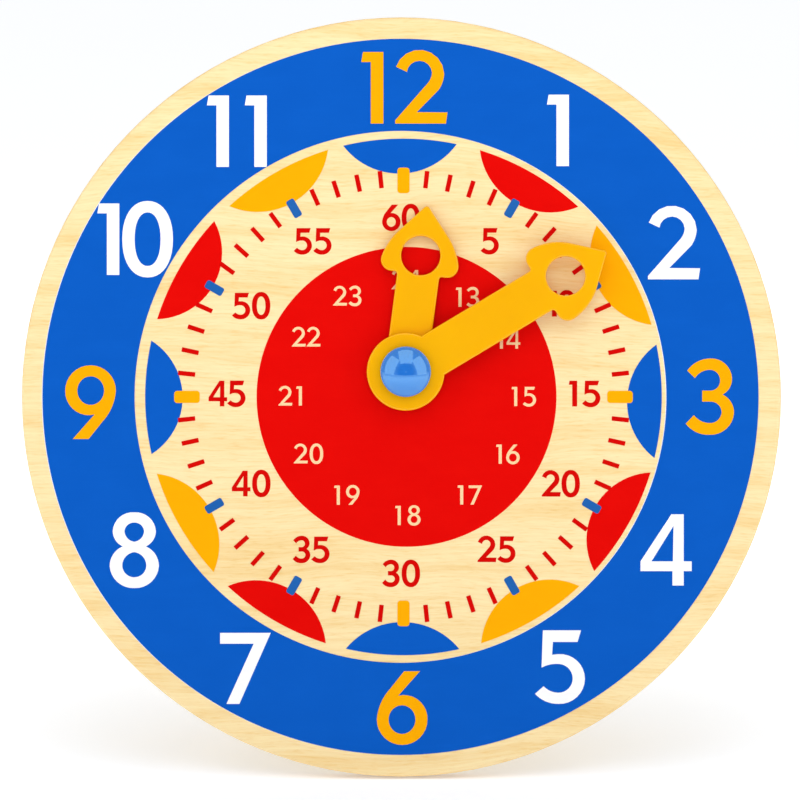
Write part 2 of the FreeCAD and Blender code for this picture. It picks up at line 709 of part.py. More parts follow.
# Hands: flat moulded plates with a boss, a straight shaft and a pointed head with a finger hole
def make_hand(label, bore, hole_reach, head_back, head_nose, shaft_width, turn, low):
    body = new_body(label)
    boss = new_sketch(body)
    add_circle(boss, "dims.hub_radius")
    pad(body, boss, "dims.hand_thickness")
    half_shaft = f"{shaft_width} / 2"
    shaft = new_sketch(body)
    add_box_outline(shaft, f"-{half_shaft}", "0", half_shaft, hole_reach)
    pad(body, shaft, "dims.hand_thickness")
    head = new_sketch(body)
    back = f"({hole_reach} - {head_back})"
    tip = f"({hole_reach} + {head_nose})"
    point = f"({hole_reach} + dims.head_point_reach)"
    point_length = f"({head_nose} - dims.head_point_reach)"
    across = "(dims.head_half_width - dims.head_point_half_width)"
    along = f"({point} - {back})"
    bend = f"(atan(dims.head_point_half_width / {point_length}) - atan({across} / {along}))"
    side_radius = f"sqrt({across} ^ 2 + {along} ^ 2) / (2 * sin({bend}))"
    add_outline(head, [
        ("-dims.head_half_width", back),
        ("dims.head_half_width", back, side_radius),
        ("dims.head_point_half_width", point),
        ("0", tip),
        ("-dims.head_point_half_width", point, side_radius),
    ])
    pad(body, head, "dims.hand_thickness")
    finger = new_sketch(body)
    add_circle(finger, "dims.finger_hole_radius", "0", hole_reach)
    pocket(body, finger)
    centre = new_sketch(body)
    add_circle(centre, bore)
    pocket(body, centre)
    round_edges(body, "dims.head_corner_radius", stands_at("dims.head_half_width", back))
    round_edges(body, "dims.notch_radius", stands_at(half_shaft, back))
    round_edges(body, "dims.head_tip_radius", stands_at("0", tip))
    front = lies_at("dims.hand_thickness")
    bore_limit = number(bore) + 0.01
    round_edges(body, "dims.hand_edge_round",
                lambda edge: front(edge) and max(edge.BoundBox.XMax, edge.BoundBox.YMax) > bore_limit)
    on_pivot(body, low, f"-{turn}")
    return body


def make_hour_hand():
    return make_hand("hour_hand", PIPE_RADIUS, "dims.hour_hole_reach", "dims.hour_head_back",
                     "dims.hour_head_nose", "dims.hour_shaft_width", "dims.hour_angle", HOUR_HAND)


def make_minute_hand():
    return make_hand("minute_hand", "dims.arbor_radius", "dims.minute_hole_reach",
                     "dims.minute_head_back", "dims.minute_head_nose", "dims.minute_shaft_width",
                     "dims.minute_angle", MINUTE_HAND)


def make_washer(label, bore, low):
    body = turned(label, ring_profile(bore, "dims.washer_radius", low, f"{low} + dims.washer_thickness"))
    on_pivot(body)
    return body


# Minute arbor: a steel rod from the cap to the setting knob, drilled for the knob's screw
def make_minute_arbor():
    screw_end = f"{ARBOR_BACK} + dims.knob_screw_length"
    body = turned("minute_arbor", [
        ("dims.knob_screw_radius", ARBOR_BACK),
        ("dims.arbor_radius", ARBOR_BACK),
        ("dims.arbor_radius", f"{MINUTE_FRONT} + dims.grip_ring_height"),
        ("0", f"{MINUTE_FRONT} + dims.grip_ring_height"),
        ("0", screw_end),
        ("dims.knob_screw_radius", screw_end),
    ])
    on_pivot(body)
    return body


# Domed cap: a hollow moulding that snaps over a grip ring on the end of the arbor
def make_dome_cap():
    inner = "(dims.cap_radius - dims.cap_wall)"
    dome_low = f"({MINUTE_FRONT} + dims.cap_skirt)"
    dome_top = f"({dome_low} + dims.cap_rise)"
    sphere = "((dims.cap_radius ^ 2 + dims.cap_rise ^ 2) / (2 * dims.cap_rise))"
    inner_sphere = f"({sphere} - dims.cap_wall)"
    inner_low = f"{dome_top} - {sphere} + sqrt({inner_sphere} ^ 2 - {inner} ^ 2)"
    body = turned("dome_cap", [
        (inner, MINUTE_FRONT),
        ("dims.cap_radius", MINUTE_FRONT),
        ("dims.cap_radius", dome_low, sphere),
        ("0", dome_top),
        ("0", f"{dome_top} - dims.cap_wall", inner_sphere, -1),
        (inner, inner_low),
    ])
    on_pivot(body)
    return body


def make_grip_ring():
    inner = "(dims.cap_radius - dims.cap_wall)"
    rim = f"{MINUTE_FRONT} + min(dims.cap_skirt; dims.grip_ring_height) / 2"
    top = f"{MINUTE_FRONT} + dims.grip_ring_height"
    body = turned("cap_grip_ring", [
        ("dims.arbor_radius", MINUTE_FRONT),
        (inner, MINUTE_FRONT),
        (inner, rim),
        (f"{inner} - 2 * dims.cap_wall", top),
        ("dims.arbor_radius", top),
    ])
    on_pivot(body)
    return body


# Setting knob: fluted, with its screw sunk in the back, and a fibre washer that holds the set time
def make_setting_knob():
    body = new_body("setting_knob")
    disc = new_sketch(body, lift=KNOB_BACK)
    add_circle(disc, "dims.knob_radius")
    pad(body, disc, "dims.knob_length")
    back = lies_at(KNOB_BACK)
    front = lies_at(KNOB_FRONT)
    round_edges(body, "dims.knob_round", lambda edge: back(edge) or front(edge))
    flute = new_sketch(body)
    add_circle(flute, "dims.flute_radius", "dims.knob_radius + dims.flute_radius / 2", "0")
    cut = pocket(body, flute)
    pattern = body.newObject("PartDesign::PolarPattern", "knob_flute_pattern")
    pattern.Originals = [cut]
    pattern.Axis = (flute, ["N_Axis"])
    pattern.Angle = 360
    pattern.setExpression("Occurrences", "dims.knob_flutes")
    body.Tip = pattern
    seat = new_sketch(body, lift=KNOB_BACK)
    add_circle(seat, "dims.screw_head_radius + dims.screw_hole_gap")
    pocket(body, seat, "dims.knob_seat_depth", up=True)
    bore = new_sketch(body)
    add_circle(bore, "dims.arbor_radius")
    pocket(body, bore)
    on_pivot(body)
    return body


def make_knob_screw():
    screw = pan_screw(number("dims.knob_screw_radius"), number("dims.knob_screw_length"))
    part = group("knob_screw", screw, [("0", "0", ARBOR_BACK)])
    on_pivot(part)
    return part


def make_friction_washer():
    low = KNOB_FRONT
    body = turned("friction_washer", ring_profile(
        "dims.arbor_radius", "dims.washer_radius", low, f"{low} + dims.friction_washer_thickness"))
    on_pivot(body)
    return body


# Butt hinge: two leaves with interleaved knuckles on one pin, both hanging down from it
KNUCKLES = 5


def make_hinge_leaf(label, side, knuckles, bore, frame):
    """One leaf in a frame on the pin's axis; side is +1 towards the dial and -1 towards the leg."""
    body = new_body(label)
    face = f"({side} * {HINGE_OFFSET})"
    inner = f"({face} - {side} * dims.leaf_thickness)"
    low_face, high_face = (inner, face) if side > 0 else (face, inner)
    plate_top = "-dims.knuckle_radius - 2 * dims.knuckle_gap"
    half = "dims.hinge_length / 2"
    plate = new_sketch(body, lift=low_face)
    add_box_outline(plate, f"-{half}", "-dims.leaf_height", half, plate_top)
    pad(body, plate, "dims.leaf_thickness")
    width = f"(dims.hinge_length / {KNUCKLES})"
    spans = []
    for index in knuckles:
        left = f"(-{half} + {index} * {width} + {'0' if index == 0 else 'dims.knuckle_gap / 2'})"
        last = index == KNUCKLES - 1
        right = f"(-{half} + {index + 1} * {width} - {'0' if last else 'dims.knuckle_gap / 2'})"
        spans.append((left, right))
    for left, right in spans:
        tab = new_sketch(body, lift=low_face)
        add_box_outline(tab, left, f"{plate_top} - dims.leaf_thickness", right, "0")
        pad(body, tab, "dims.leaf_thickness")
        barrel = new_sketch(body, "YZ_Plane", lift=left)
        add_circle(barrel, "dims.knuckle_radius")
        pad(body, barrel, f"{right} - {left}")
    pin_hole = new_sketch(body, "YZ_Plane")
    add_circle(pin_hole, bore)
    pocket(body, pin_hole)
    holes = new_sketch(body)
    for x, y in LEAF_SCREW_SPOTS:
        add_circle(holes, "dims.leaf_screw_radius", x, y)
    pocket(body, holes)
    place(body, frame=frame)
    return body


PIN_FRAME = (
    f"{DIAL_FRAME} * placement(vector(0; dims.hinge_rise; -{HINGE_BACK});"
    " rotation(vector(0; 0; 1); 0))"
)
BOARD_KNUCKLES = range(0, KNUCKLES, 2)
LEG_KNUCKLES = range(1, KNUCKLES, 2)


def sink_leaf_screws(leaf, side):
    """Countersink the screw holes of a leaf from the face between both leaves."""
    inner = f"({side} * ({HINGE_OFFSET} - dims.leaf_thickness))"
    deep = f"({inner} + {side} * dims.leaf_screw_head_depth)"
    wide = ("dims.leaf_screw_head_radius", inner)
    narrow = ("dims.leaf_screw_radius", deep)
    low, high = (wide, narrow) if side > 0 else (narrow, wide)
    for x, y in LEAF_SCREW_SPOTS:
        sketch = new_sketch(leaf, "XZ_Plane", lift=f"-({y})", shift=x)
        add_outline(sketch, [("0", low[1]), low, high, ("0", high[1])])
        revolve(leaf, sketch, groove=True)


def make_hinge_pin():
    body = new_body("hinge_pin")
    rod = new_sketch(body, "YZ_Plane")
    add_circle(rod, "dims.hinge_pin_radius")
    pad(body, rod, "dims.hinge_length", both_ways=True)
    for side in (-1, 1):
        start = "dims.hinge_length / 2" if side > 0 else "-dims.hinge_length / 2 - dims.hinge_pin_head"
        head = new_sketch(body, "YZ_Plane", lift=start)
        add_circle(head, "dims.knuckle_radius")
        pad(body, head, "dims.hinge_pin_head")
    place(body, frame=PIN_FRAME)
    return body


def make_leaf_screws(label, side, frame):
    """The three screws of one leaf, their heads flush with the face between both leaves."""
    screw = countersunk_screw()
    if side < 0:
        screw.rotate(FreeCAD.Vector(0, 0, 0), FreeCAD.Vector(1, 0, 0), 180)
    height = f"{side} * ({HINGE_OFFSET} - dims.leaf_thickness)"
    part = group(label, screw, [(x, y, height) for x, y in LEAF_SCREW_SPOTS])
    place(part, frame=frame)
    return part


# Leg: a plywood frame whose window clears the gear case, with an arch between its feet
def make_stand_leg():
    body = new_body("stand_leg")
    tilt = "((dims.leg_open_angle - dims.lean) * 1deg)"
    opening = "(dims.leg_open_angle * 1deg)"
    front = HINGE_OFFSET
    back = f"({HINGE_OFFSET} + dims.leg_thickness)"
    heel = f"({HINGE_OFFSET} * (1 + cos{opening}) / sin{opening})"
    drop = f"(({HINGE_HEIGHT} - dims.pad_thickness) / cos{tilt})"
    side = new_sketch(body, "YZ_Plane")
    add_outline(side, [
        (f"-{drop} - {front} * tan{tilt}", f"-{front}"),
        (f"-{drop} - {back} * tan{tilt}", f"-{back}"),
        (heel, f"-{back}"),
        (heel, f"-{front}"),
    ])
    pad(body, side, "2 * dims.leg_half_width", both_ways=True)
    case_top = f"(dims.hinge_rise - dims.pivot_rise - {CASE_RADIUS})"
    window_top = f"-({case_top} - dims.window_gap)"
    window_low = f"-({case_top} + {GEAR_CENTRES} + 2 * {CASE_RADIUS} + dims.window_gap)"
    half = "(dims.leg_half_width - dims.rail_width)"
    corner = "dims.leg_corner_round"
    window = new_sketch(body)
    add_outline(window, [
        (f"{half} - {corner}", window_low, corner),
        (half, f"{window_low} + {corner}"),
        (half, f"{window_top} - {corner}", corner),
        (f"{half} - {corner}", window_top),
        (f"{corner} - {half}", window_top, corner),
        (f"-{half}", f"{window_top} - {corner}"),
        (f"-{half}", f"{window_low} + {corner}", corner),
        (f"{corner} - {half}", window_low),
    ])
    pocket(body, window)
    arch = new_sketch(body)
    below = f"-{drop} - dims.leg_thickness"
    spring = f"-{drop} + dims.foot_height - {half}"
    add_outline(arch, [
        (f"-{half}", below),
        (half, below),
        (half, spring, half),
        ("0", f"{spring} + {half}", half),
        (f"-{half}", spring),
    ])
    pocket(body, arch)
    round_edges(body, corner, stands_at("dims.leg_half_width", heel))
    pilots = new_sketch(body, lift=f"-{front}")
    for x, y in LEAF_SCREW_SPOTS:
        add_circle(pilots, "dims.leaf_screw_radius", x, y)
    pocket(body, pilots, "dims.leaf_screw_bite")
    place(body, frame=LEG_FRAME)
    return body


def make_foot_pads():
    """Two rubber blocks between the floor and the feet's level ends."""
    tilt = number("dims.leg_open_angle - dims.lean")
    over = number("dims.pad_overhang")
    thickness = number("dims.pad_thickness")
    width = number("dims.rail_width") + 2 * over
    inner = number("dims.leg_half_width - dims.rail_width") - over
    slope = math.tan(math.radians(tilt))
    across = math.cos(math.radians(tilt))
    hinge_place = number(f"{CENTRE_BACK} + dims.hinge_rise * sin(dims.lean * 1deg)"
                         f" + {HINGE_BACK} * cos(dims.lean * 1deg)")
    front = hinge_place + (number(HINGE_HEIGHT) - thickness) * slope + number(HINGE_OFFSET) / across
    depth = number("dims.leg_thickness") / across + 2 * over
    pads = []
    for left in (inner, -inner - width):
        pads.append(Part.makeBox(width, depth, thickness, FreeCAD.Vector(left, front - over, 0)))
    part = doc.addObject("Part::Feature", "foot_pads")
    part.Label = "foot_pads"
    part.Shape = Part.makeCompound(pads)
    return part


def make_all():
    """Make every sub-part, from the dial outwards."""
    board_leaf = make_hinge_leaf("hinge_leaf_board", 1, BOARD_KNUCKLES, "dims.hinge_pin_radius", PIN_FRAME)
    sink_leaf_screws(board_leaf, 1)
    leg_leaf = make_hinge_leaf("hinge_leaf_leg", -1, LEG_KNUCKLES,
                               "dims.hinge_pin_radius + dims.running_gap", LEG_FRAME)
    sink_leaf_screws(leg_leaf, -1)
    return [
        make_dial_board(),
        make_centre_bush(),
        make_gear_case_base(),
        make_gear_case_cover(),
        make_case_screws(),
        make_idler_post(),
        make_idler_clip(),
        make_idler_gear(),
        make_hour_wheel(),
        make_washer("hour_washer", PIPE_RADIUS, HOUR_WASHER),
        make_hour_hand(),
        make_minute_arbor(),
        make_minute_pinion(),
        make_washer("minute_washer", "dims.arbor_radius", MINUTE_WASHER),
        make_minute_hand(),
        make_grip_ring(),
        make_dome_cap(),
        make_friction_washer(),
        make_setting_knob(),
        make_knob_screw(),
        board_leaf,
        make_leaf_screws("board_hinge_screws", 1, PIN_FRAME),
        make_hinge_pin(),
        leg_leaf,
        make_leaf_screws("leg_hinge_screws", -1, LEG_FRAME),
        make_stand_leg(),
        make_foot_pads(),
    ]


def check_document(parts):
    """Stop if any object failed, or a sub-part has no sound shape."""
    for item in doc.Objects:
        if {"Invalid", "Error"} & set(item.State):
            raise RuntimeError(f"{item.Label} failed to recompute")
    for part in parts:
        if part.Shape.isNull() or not part.Shape.isValid():
            raise RuntimeError(f"{part.Label} has no valid shape")


def write_parts(parts):
    """Write each sub-part to a STEP file named after it."""
    os.makedirs("parts", exist_ok=True)
    for part in parts:
        part.Shape.exportStep(f"parts/{part.Label}.step")
        box = part.Shape.BoundBox
        print(f"{part.Label}: {len(part.Shape.Solids)} solid, {part.Shape.Volume:.1f} mm3,"
              f" {box.XLength:.2f} x {box.YLength:.2f} x {box.ZLength:.2f} mm")


parts = make_all()
doc.recompute()
check_document(parts)
write_parts(parts)
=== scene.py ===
"""Geared teaching clock: the printed wooden dial, its hands and the gear case and leg behind it.

The solids come packed from the CAD as a fixed frame, in metres. Sizes on the dial are given in
millimetres on its face: x to the right, y up from the middle of the disc, z out of the face.
"""

import json
import math

import bmesh
import bpy
from mathutils import Matrix, Vector


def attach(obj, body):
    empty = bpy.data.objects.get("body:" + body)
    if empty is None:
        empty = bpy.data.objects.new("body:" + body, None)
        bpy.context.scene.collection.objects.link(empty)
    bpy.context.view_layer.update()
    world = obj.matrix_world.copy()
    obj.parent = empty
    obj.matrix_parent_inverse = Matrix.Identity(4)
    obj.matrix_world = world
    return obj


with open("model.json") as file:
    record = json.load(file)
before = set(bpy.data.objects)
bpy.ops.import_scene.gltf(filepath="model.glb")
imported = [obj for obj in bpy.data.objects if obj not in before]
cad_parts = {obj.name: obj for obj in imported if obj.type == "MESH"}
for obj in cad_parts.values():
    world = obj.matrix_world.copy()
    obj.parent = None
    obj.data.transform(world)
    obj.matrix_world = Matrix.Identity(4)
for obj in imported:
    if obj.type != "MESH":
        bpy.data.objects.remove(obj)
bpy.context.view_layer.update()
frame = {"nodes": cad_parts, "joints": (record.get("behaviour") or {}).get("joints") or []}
nodes = frame["nodes"]
MM = 0.001


# Dial: a 30 cm disc of birch plywood with sanded edges and a thin satin lacquer.
# The face veneer's grain runs level across it, and the rim shows the stack of plies.
minute_turn = next(joint for joint in frame["joints"] if joint["name"] == "minute_turn")
face_out = -Vector(minute_turn["axis"]).normalized()
face_right = Vector((1, 0, 0))
face_up = face_out.cross(face_right)
board_points = [vertex.co for vertex in nodes["dial_board"].data.vertices]
board_left = min(point.x for point in board_points)
board_right = max(point.x for point in board_points)
dial_radius = (board_right - board_left) / 2
dial_centre = (
    face_right * (board_left + board_right) / 2
    + face_up * (max(point.dot(face_up) for point in board_points) - dial_radius)
    + face_out * max(point.dot(face_out) for point in board_points)
)
dial_place = Matrix((face_right, face_up, face_out)).transposed().to_4x4()
dial_place.translation = dial_centre

BOARD_THICKNESS = 9 * MM
BOARD_PLIES = 7
# How much the fibres, the broad figure and the flecks each darken the veneer
FIBRE_SHARE, FIGURE_SHARE, FLECK_SHARE = 0.34, 0.4, 0.32
# A face that looks further off the sheet's own direction than this cosine is sawn edge
EDGE_FACING = 0.62
GRAIN_DEPTH = 0.08 * MM


def colour(red, green, blue):
    """A screen colour of 0 to 255 as the linear colour that Blender works in."""
    parts = [part / 255 for part in (red, green, blue)]
    linear = [part / 12.92 if part < 0.04045 else ((part + 0.055) / 1.055) ** 2.4 for part in parts]
    return (*linear, 1)


def add(tree, kind, links=None, **settings):
    """Add a node to a tree with its settings, and link or set its inputs by name or number."""
    node = tree.nodes.new(kind)
    for name, value in settings.items():
        setattr(node, name, value)
    for name, value in (links or {}).items():
        if isinstance(value, bpy.types.NodeSocket):
            tree.links.new(value, node.inputs[name])
        else:
            node.inputs[name].default_value = value
    return node


def calculate(tree, operation, *values):
    """One step of arithmetic, as a socket."""
    return add(tree, "ShaderNodeMath", dict(enumerate(values)), operation=operation).outputs[0]


def spread(tree, value, low, high, new_low=0.0, new_high=1.0):
    """Stretch the part of a value between low and high, as a socket."""
    inputs = {0: value, 1: low, 2: high, 3: new_low, 4: new_high}
    return add(tree, "ShaderNodeMapRange", inputs).outputs[0]


def blend(tree, mask, first, second):
    """Mix two colours by a mask, as a socket."""
    return add(tree, "ShaderNodeMix", {0: mask, 6: first, 7: second}, data_type="RGBA").outputs[2]


def stretched_noise(tree, vector, scale, detail=3.0, roughness=0.55):
    """Noise with its own number of grains per metre along each axis, as a socket from 0 to 1."""
    placed = add(tree, "ShaderNodeMapping", {"Vector": vector, "Scale": scale})
    inputs = {"Vector": placed.outputs[0], "Scale": 1.0, "Detail": detail, "Roughness": roughness}
    return add(tree, "ShaderNodeTexNoise", inputs).outputs[0]


def new_group(name, inputs, outputs):
    """Start a shader node group from its (name, socket type) pairs."""
    group = bpy.data.node_groups.new(name, "ShaderNodeTree")
    for label, kind in inputs:
        group.interface.new_socket(label, in_out="INPUT", socket_type=kind)
    for label, kind in outputs:
        group.interface.new_socket(label, in_out="OUTPUT", socket_type=kind)
    return group, add(group, "NodeGroupInput").outputs, add(group, "NodeGroupOutput").inputs


def new_material(name, even_values):
    """Start a material with one Principled shader, and set what is the same all over."""
    material = bpy.data.materials.new(name)
    material.use_nodes = True
    shader = material.node_tree.nodes["Principled BSDF"]
    for label, value in even_values.items():
        shader.inputs[label].default_value = value
    return material, material.node_tree, shader


def placed_coordinates(tree, place):
    """Object coordinates read in a frame of their own, in metres, as a socket."""
    inputs = {
        "Vector": add(tree, "ShaderNodeTexCoord").outputs["Object"],
        "Location": place.translation,
        "Rotation": place.to_euler(),
    }
    return add(tree, "ShaderNodeMapping", inputs, vector_type="TEXTURE").outputs[0]


def link_bump(tree, shader, height, distance):
    """Let a height stand out of the surface by a distance in metres."""
    bump = add(tree, "ShaderNodeBump", {"Height": height, "Distance": distance})
    tree.links.new(bump.outputs[0], shader.inputs["Normal"])


def make_veneer_group():
    """Birch veneer with its grain along x: soft broad figure, fine fibres, short dark flecks."""
    inputs = [
        ("Vector", "NodeSocketVector"), ("Pale", "NodeSocketColor"), ("Dark", "NodeSocketColor"),
    ]
    outputs = [("Color", "NodeSocketColor"), ("Fibres", "NodeSocketFloat")]
    group, given, result = new_group("birch_veneer", inputs, outputs)
    broad = {"Vector": given["Vector"], "Scale": 7.0, "Detail": 2.0}
    drift = add(group, "ShaderNodeTexNoise", broad).outputs[1]
    sideways = {0: drift, 1: (0, 0.026, 0)}
    offset = add(group, "ShaderNodeVectorMath", sideways, operation="MULTIPLY").outputs[0]
    wavy = add(group, "ShaderNodeVectorMath", {0: given["Vector"], 1: offset}).outputs[0]
    figure = spread(group, stretched_noise(group, wavy, (5.5, 120, 40), 2.0), 0.44, 0.68)
    fibres = stretched_noise(group, wavy, (52, 950, 400), 3.0, 0.6)
    flecks = spread(group, stretched_noise(group, wavy, (160, 1250, 500), 2.0), 0.52, 0.72)
    grain = calculate(group, "MULTIPLY", spread(group, fibres, 0.36, 0.7), FIBRE_SHARE)
    grain = calculate(group, "MULTIPLY_ADD", figure, FIGURE_SHARE, grain)
    grain = calculate(group, "MULTIPLY_ADD", flecks, FLECK_SHARE, grain)
    group.links.new(blend(group, grain, given["Pale"], given["Dark"]), result["Color"])
    group.links.new(fibres, result["Fibres"])
    return group


def make_plies_group():
    """Sawn edge of plywood, stacked along z: long and end grain by turns, dark glue lines."""
    inputs = [
        ("Vector", "NodeSocketVector"), ("Ply", "NodeSocketFloat"),
        ("Pale", "NodeSocketColor"), ("Dark", "NodeSocketColor"),
    ]
    outputs = [("Color", "NodeSocketColor"), ("Fibres", "NodeSocketFloat")]
    group, given, result = new_group("plywood_edge", inputs, outputs)
    height = add(group, "ShaderNodeSeparateXYZ", {0: given["Vector"]}).outputs[2]
    ply = calculate(group, "DIVIDE", calculate(group, "MULTIPLY", height, -1.0), given["Ply"])
    crossing = calculate(group, "GREATER_THAN", calculate(group, "FLOORED_MODULO", ply, 2.0), 1.0)
    pores = stretched_noise(group, given["Vector"], (2600, 2600, 2600), 2.0)
    fibres = stretched_noise(group, given["Vector"], (160, 160, 2400), 3.0)
    open_pore, dried_glue = colour(196, 148, 96), colour(150, 106, 66)
    long_grain = blend(group, spread(group, fibres, 0.35, 0.7), given["Pale"], given["Dark"])
    end_grain = blend(group, spread(group, pores, 0.3, 0.55), given["Dark"], open_pore)
    layers = blend(group, crossing, long_grain, end_grain)
    through = calculate(group, "SUBTRACT", calculate(group, "FRACT", ply), 0.5)
    from_middle = calculate(group, "ABSOLUTE", through)
    glue = spread(group, from_middle, 0.45, 0.49, 0.0, 0.55)
    group.links.new(blend(group, glue, layers, dried_glue), result["Color"])
    group.links.new(pores, result["Fibres"])
    return group


veneer_group = make_veneer_group()
plies_group = make_plies_group()


def birch_plywood(name, place, ply, pale, dark):
    """Lacquered plywood whose sheet lies in the x and y of its place, its front at z = 0."""
    material, tree, shader = new_material(name, {"Specular IOR Level": 0.3, "Coat Weight": 0.06})
    vector = placed_coordinates(tree, place)
    colours = {"Pale": pale, "Dark": dark}
    face = add(tree, "ShaderNodeGroup", node_tree=veneer_group)
    edge = add(tree, "ShaderNodeGroup", node_tree=plies_group)
    edge.inputs["Ply"].default_value = ply
    for part in (face, edge):
        tree.links.new(vector, part.inputs["Vector"])
        for label, value in colours.items():
            part.inputs[label].default_value = value
    normal = add(tree, "ShaderNodeTexCoord").outputs["Normal"]
    across = place.to_3x3() @ Vector((0, 0, 1))
    dot = add(tree, "ShaderNodeVectorMath", {0: normal, 1: across}, operation="DOT_PRODUCT")
    facing = calculate(tree, "ABSOLUTE", dot.outputs["Value"])
    on_edge = calculate(tree, "LESS_THAN", facing, EDGE_FACING)
    shade = blend(tree, on_edge, face.outputs["Color"], edge.outputs["Color"])
    tree.links.new(shade, shader.inputs["Base Color"])
    roughness = spread(tree, face.outputs["Fibres"], 0.3, 0.7, 0.46, 0.6)
    tree.links.new(roughness, shader.inputs["Roughness"])
    heights = {0: on_edge, 2: face.outputs["Fibres"], 3: edge.outputs["Fibres"]}
    height = add(tree, "ShaderNodeMix", heights).outputs[0]
    link_bump(tree, shader, height, GRAIN_DEPTH)
    return material


def finish_node(name, material):
    """Give a CAD node its material."""
    for slot in nodes[name].material_slots:
        slot.material = material


dial_ply = birch_plywood(
    "birch_ply_dial", dial_place, BOARD_THICKNESS / BOARD_PLIES,
    colour(254, 231, 177), colour(239, 196, 117),
)
finish_node("dial_board", dial_ply)


# Print: inks laid on the face by screen, one thin film over another. A white base under the blue
# ring shows as a hair line at its left, where the two screens differ.
INK_SUNK = 0.05
INK_THICKNESS = 0.05
INK_GRAIN_DEPTH = 0.03 * MM
MERGE_DISTANCE = 0.001 * MM
RING_OUTER, RING_INNER = 141.4, 105.0
RING_CENTRE = (-0.38, 0.03)
UNDERPRINT_SHIFT = -0.25
RED_DISC_RADIUS = 59.2
RED_DISC_CENTRE = (2.0, 0.04)
RING_STEPS, RED_DISC_STEPS = 240, 180


def ink(name, shade, worn_shade):
    """Matt screen ink: a faint cloudy tint, and the wood's fibres just felt through it."""
    material, tree, shader = new_material(name, {"Specular IOR Level": 0.04})
    vector = placed_coordinates(tree, dial_place)
    clouds = stretched_noise(tree, vector, (45, 90, 90), 4.0)
    fibres = stretched_noise(tree, vector, (40, 900, 400), 3.0)
    broad = spread(tree, clouds, 0.4, 0.8)
    tint = calculate(tree, "MULTIPLY_ADD", spread(tree, fibres, 0.5, 0.75), 0.35, broad)
    tree.links.new(blend(tree, tint, shade, worn_shade), shader.inputs["Base Color"])
    tree.links.new(spread(tree, clouds, 0.3, 0.7, 0.48, 0.58), shader.inputs["Roughness"])
    link_bump(tree, shader, fibres, INK_GRAIN_DEPTH)
    return material


blue_ink = ink("blue_ink", colour(6, 89, 190), colour(8, 92, 194))
red_ink = ink("red_ink", colour(225, 3, 0), colour(228, 6, 1))
yellow_ink = ink("yellow_ink", colour(251, 171, 0), colour(252, 175, 0))
white_ink = ink("white_ink", colour(254, 254, 254), colour(250, 250, 249))


def plain_mesh(holder, name):
    """The evaluated shape of an object as a plain closed mesh, with the object removed."""
    evaluated = holder.evaluated_get(bpy.context.evaluated_depsgraph_get())
    mesh = bpy.data.meshes.new_from_object(evaluated)
    mesh.name = name
    bpy.data.objects.remove(holder)
    return mesh


def film_mesh(name, contours, layer):
    """A flat film filled inside its contours, in millimetres; layers count up from the wood."""
    low = -INK_SUNK
    high = layer * INK_THICKNESS
    curve = bpy.data.curves.new(name, "CURVE")
    curve.dimensions = "2D"
    curve.fill_mode = "BOTH"
    curve.extrude = (high - low) / 2 * MM
    for contour in contours:
        spline = curve.splines.new("POLY")
        spline.points.add(len(contour) - 1)
        spline.use_cyclic_u = True
        for point, (x, y) in zip(spline.points, contour):
            point.co = (x * MM, y * MM, 0, 1)
    holder = bpy.data.objects.new(name, curve)
    bpy.context.collection.objects.link(holder)
    mesh = plain_mesh(holder, name)
    mesh.transform(Matrix.Translation((0, 0, (low + high) / 2 * MM)))
    return mesh


def close_mesh(mesh):
    """Merge a mesh's doubles and point its faces outwards."""
    work = bmesh.new()
    work.from_mesh(mesh)
    bmesh.ops.remove_doubles(work, verts=work.verts, dist=MERGE_DISTANCE)
    bmesh.ops.recalc_face_normals(work, faces=work.faces)
    work.to_mesh(mesh)
    work.free()


def lay_print(name, mesh, material):
    """Put a film on the dial's face as a piece of the dial."""
    close_mesh(mesh)
    mesh.transform(dial_place)
    mesh.materials.clear()
    mesh.materials.append(material)
    piece = bpy.data.objects.new(name, mesh)
    bpy.context.collection.objects.link(piece)
    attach(piece, "dial")


def oval(centre, half_width, half_height, power=2.0, steps=40):
    """Points round an oval; a power above 2 squares its shoulders."""
    points = []
    for step in range(steps):
        angle = 2 * math.pi * step / steps
        across, along = math.cos(angle), math.sin(angle)
        x = math.copysign(abs(across) ** (2 / power), across)
        y = math.copysign(abs(along) ** (2 / power), along)
        points.append((centre[0] + half_width * x, centre[1] + half_height * y))
    return points


def ring_contours(centre):
    """The two circles of the wide ring that carries the hours."""
    radii = (RING_OUTER, RING_INNER)
    return [oval(centre, radius, radius, steps=RING_STEPS) for radius in radii]


underprint_centre = (RING_CENTRE[0] + UNDERPRINT_SHIFT, RING_CENTRE[1])
underprint = ring_contours(underprint_centre)
lay_print("hour_ring_underprint", film_mesh("hour_ring_underprint", underprint, 1), white_ink)
lay_print("hour_ring", film_mesh("hour_ring", ring_contours(RING_CENTRE), 2), blue_ink)
red_disc = oval(RED_DISC_CENTRE, RED_DISC_RADIUS, RED_DISC_RADIUS, steps=RED_DISC_STEPS)
lay_print("red_disc", film_mesh("red_disc", [red_disc], 1), red_ink)


# Petals and minute marks: printed round the hour ring's inner edge, the marks over the petals.
# Three inks take turns from petal to petal, and no petal is quite true; every fifth mark is
# wider, and each kind of mark has a middle of its own.
PETALS_CENTRE = (0.8, 0.0)
PETAL_TIP_RADIUS = 102.0
PETAL_HALF_ANGLE = math.radians(12.7)
PETAL_ARC_STEPS = 24
CORNER_STEPS = 4
CLOSED_GAP = 0.01
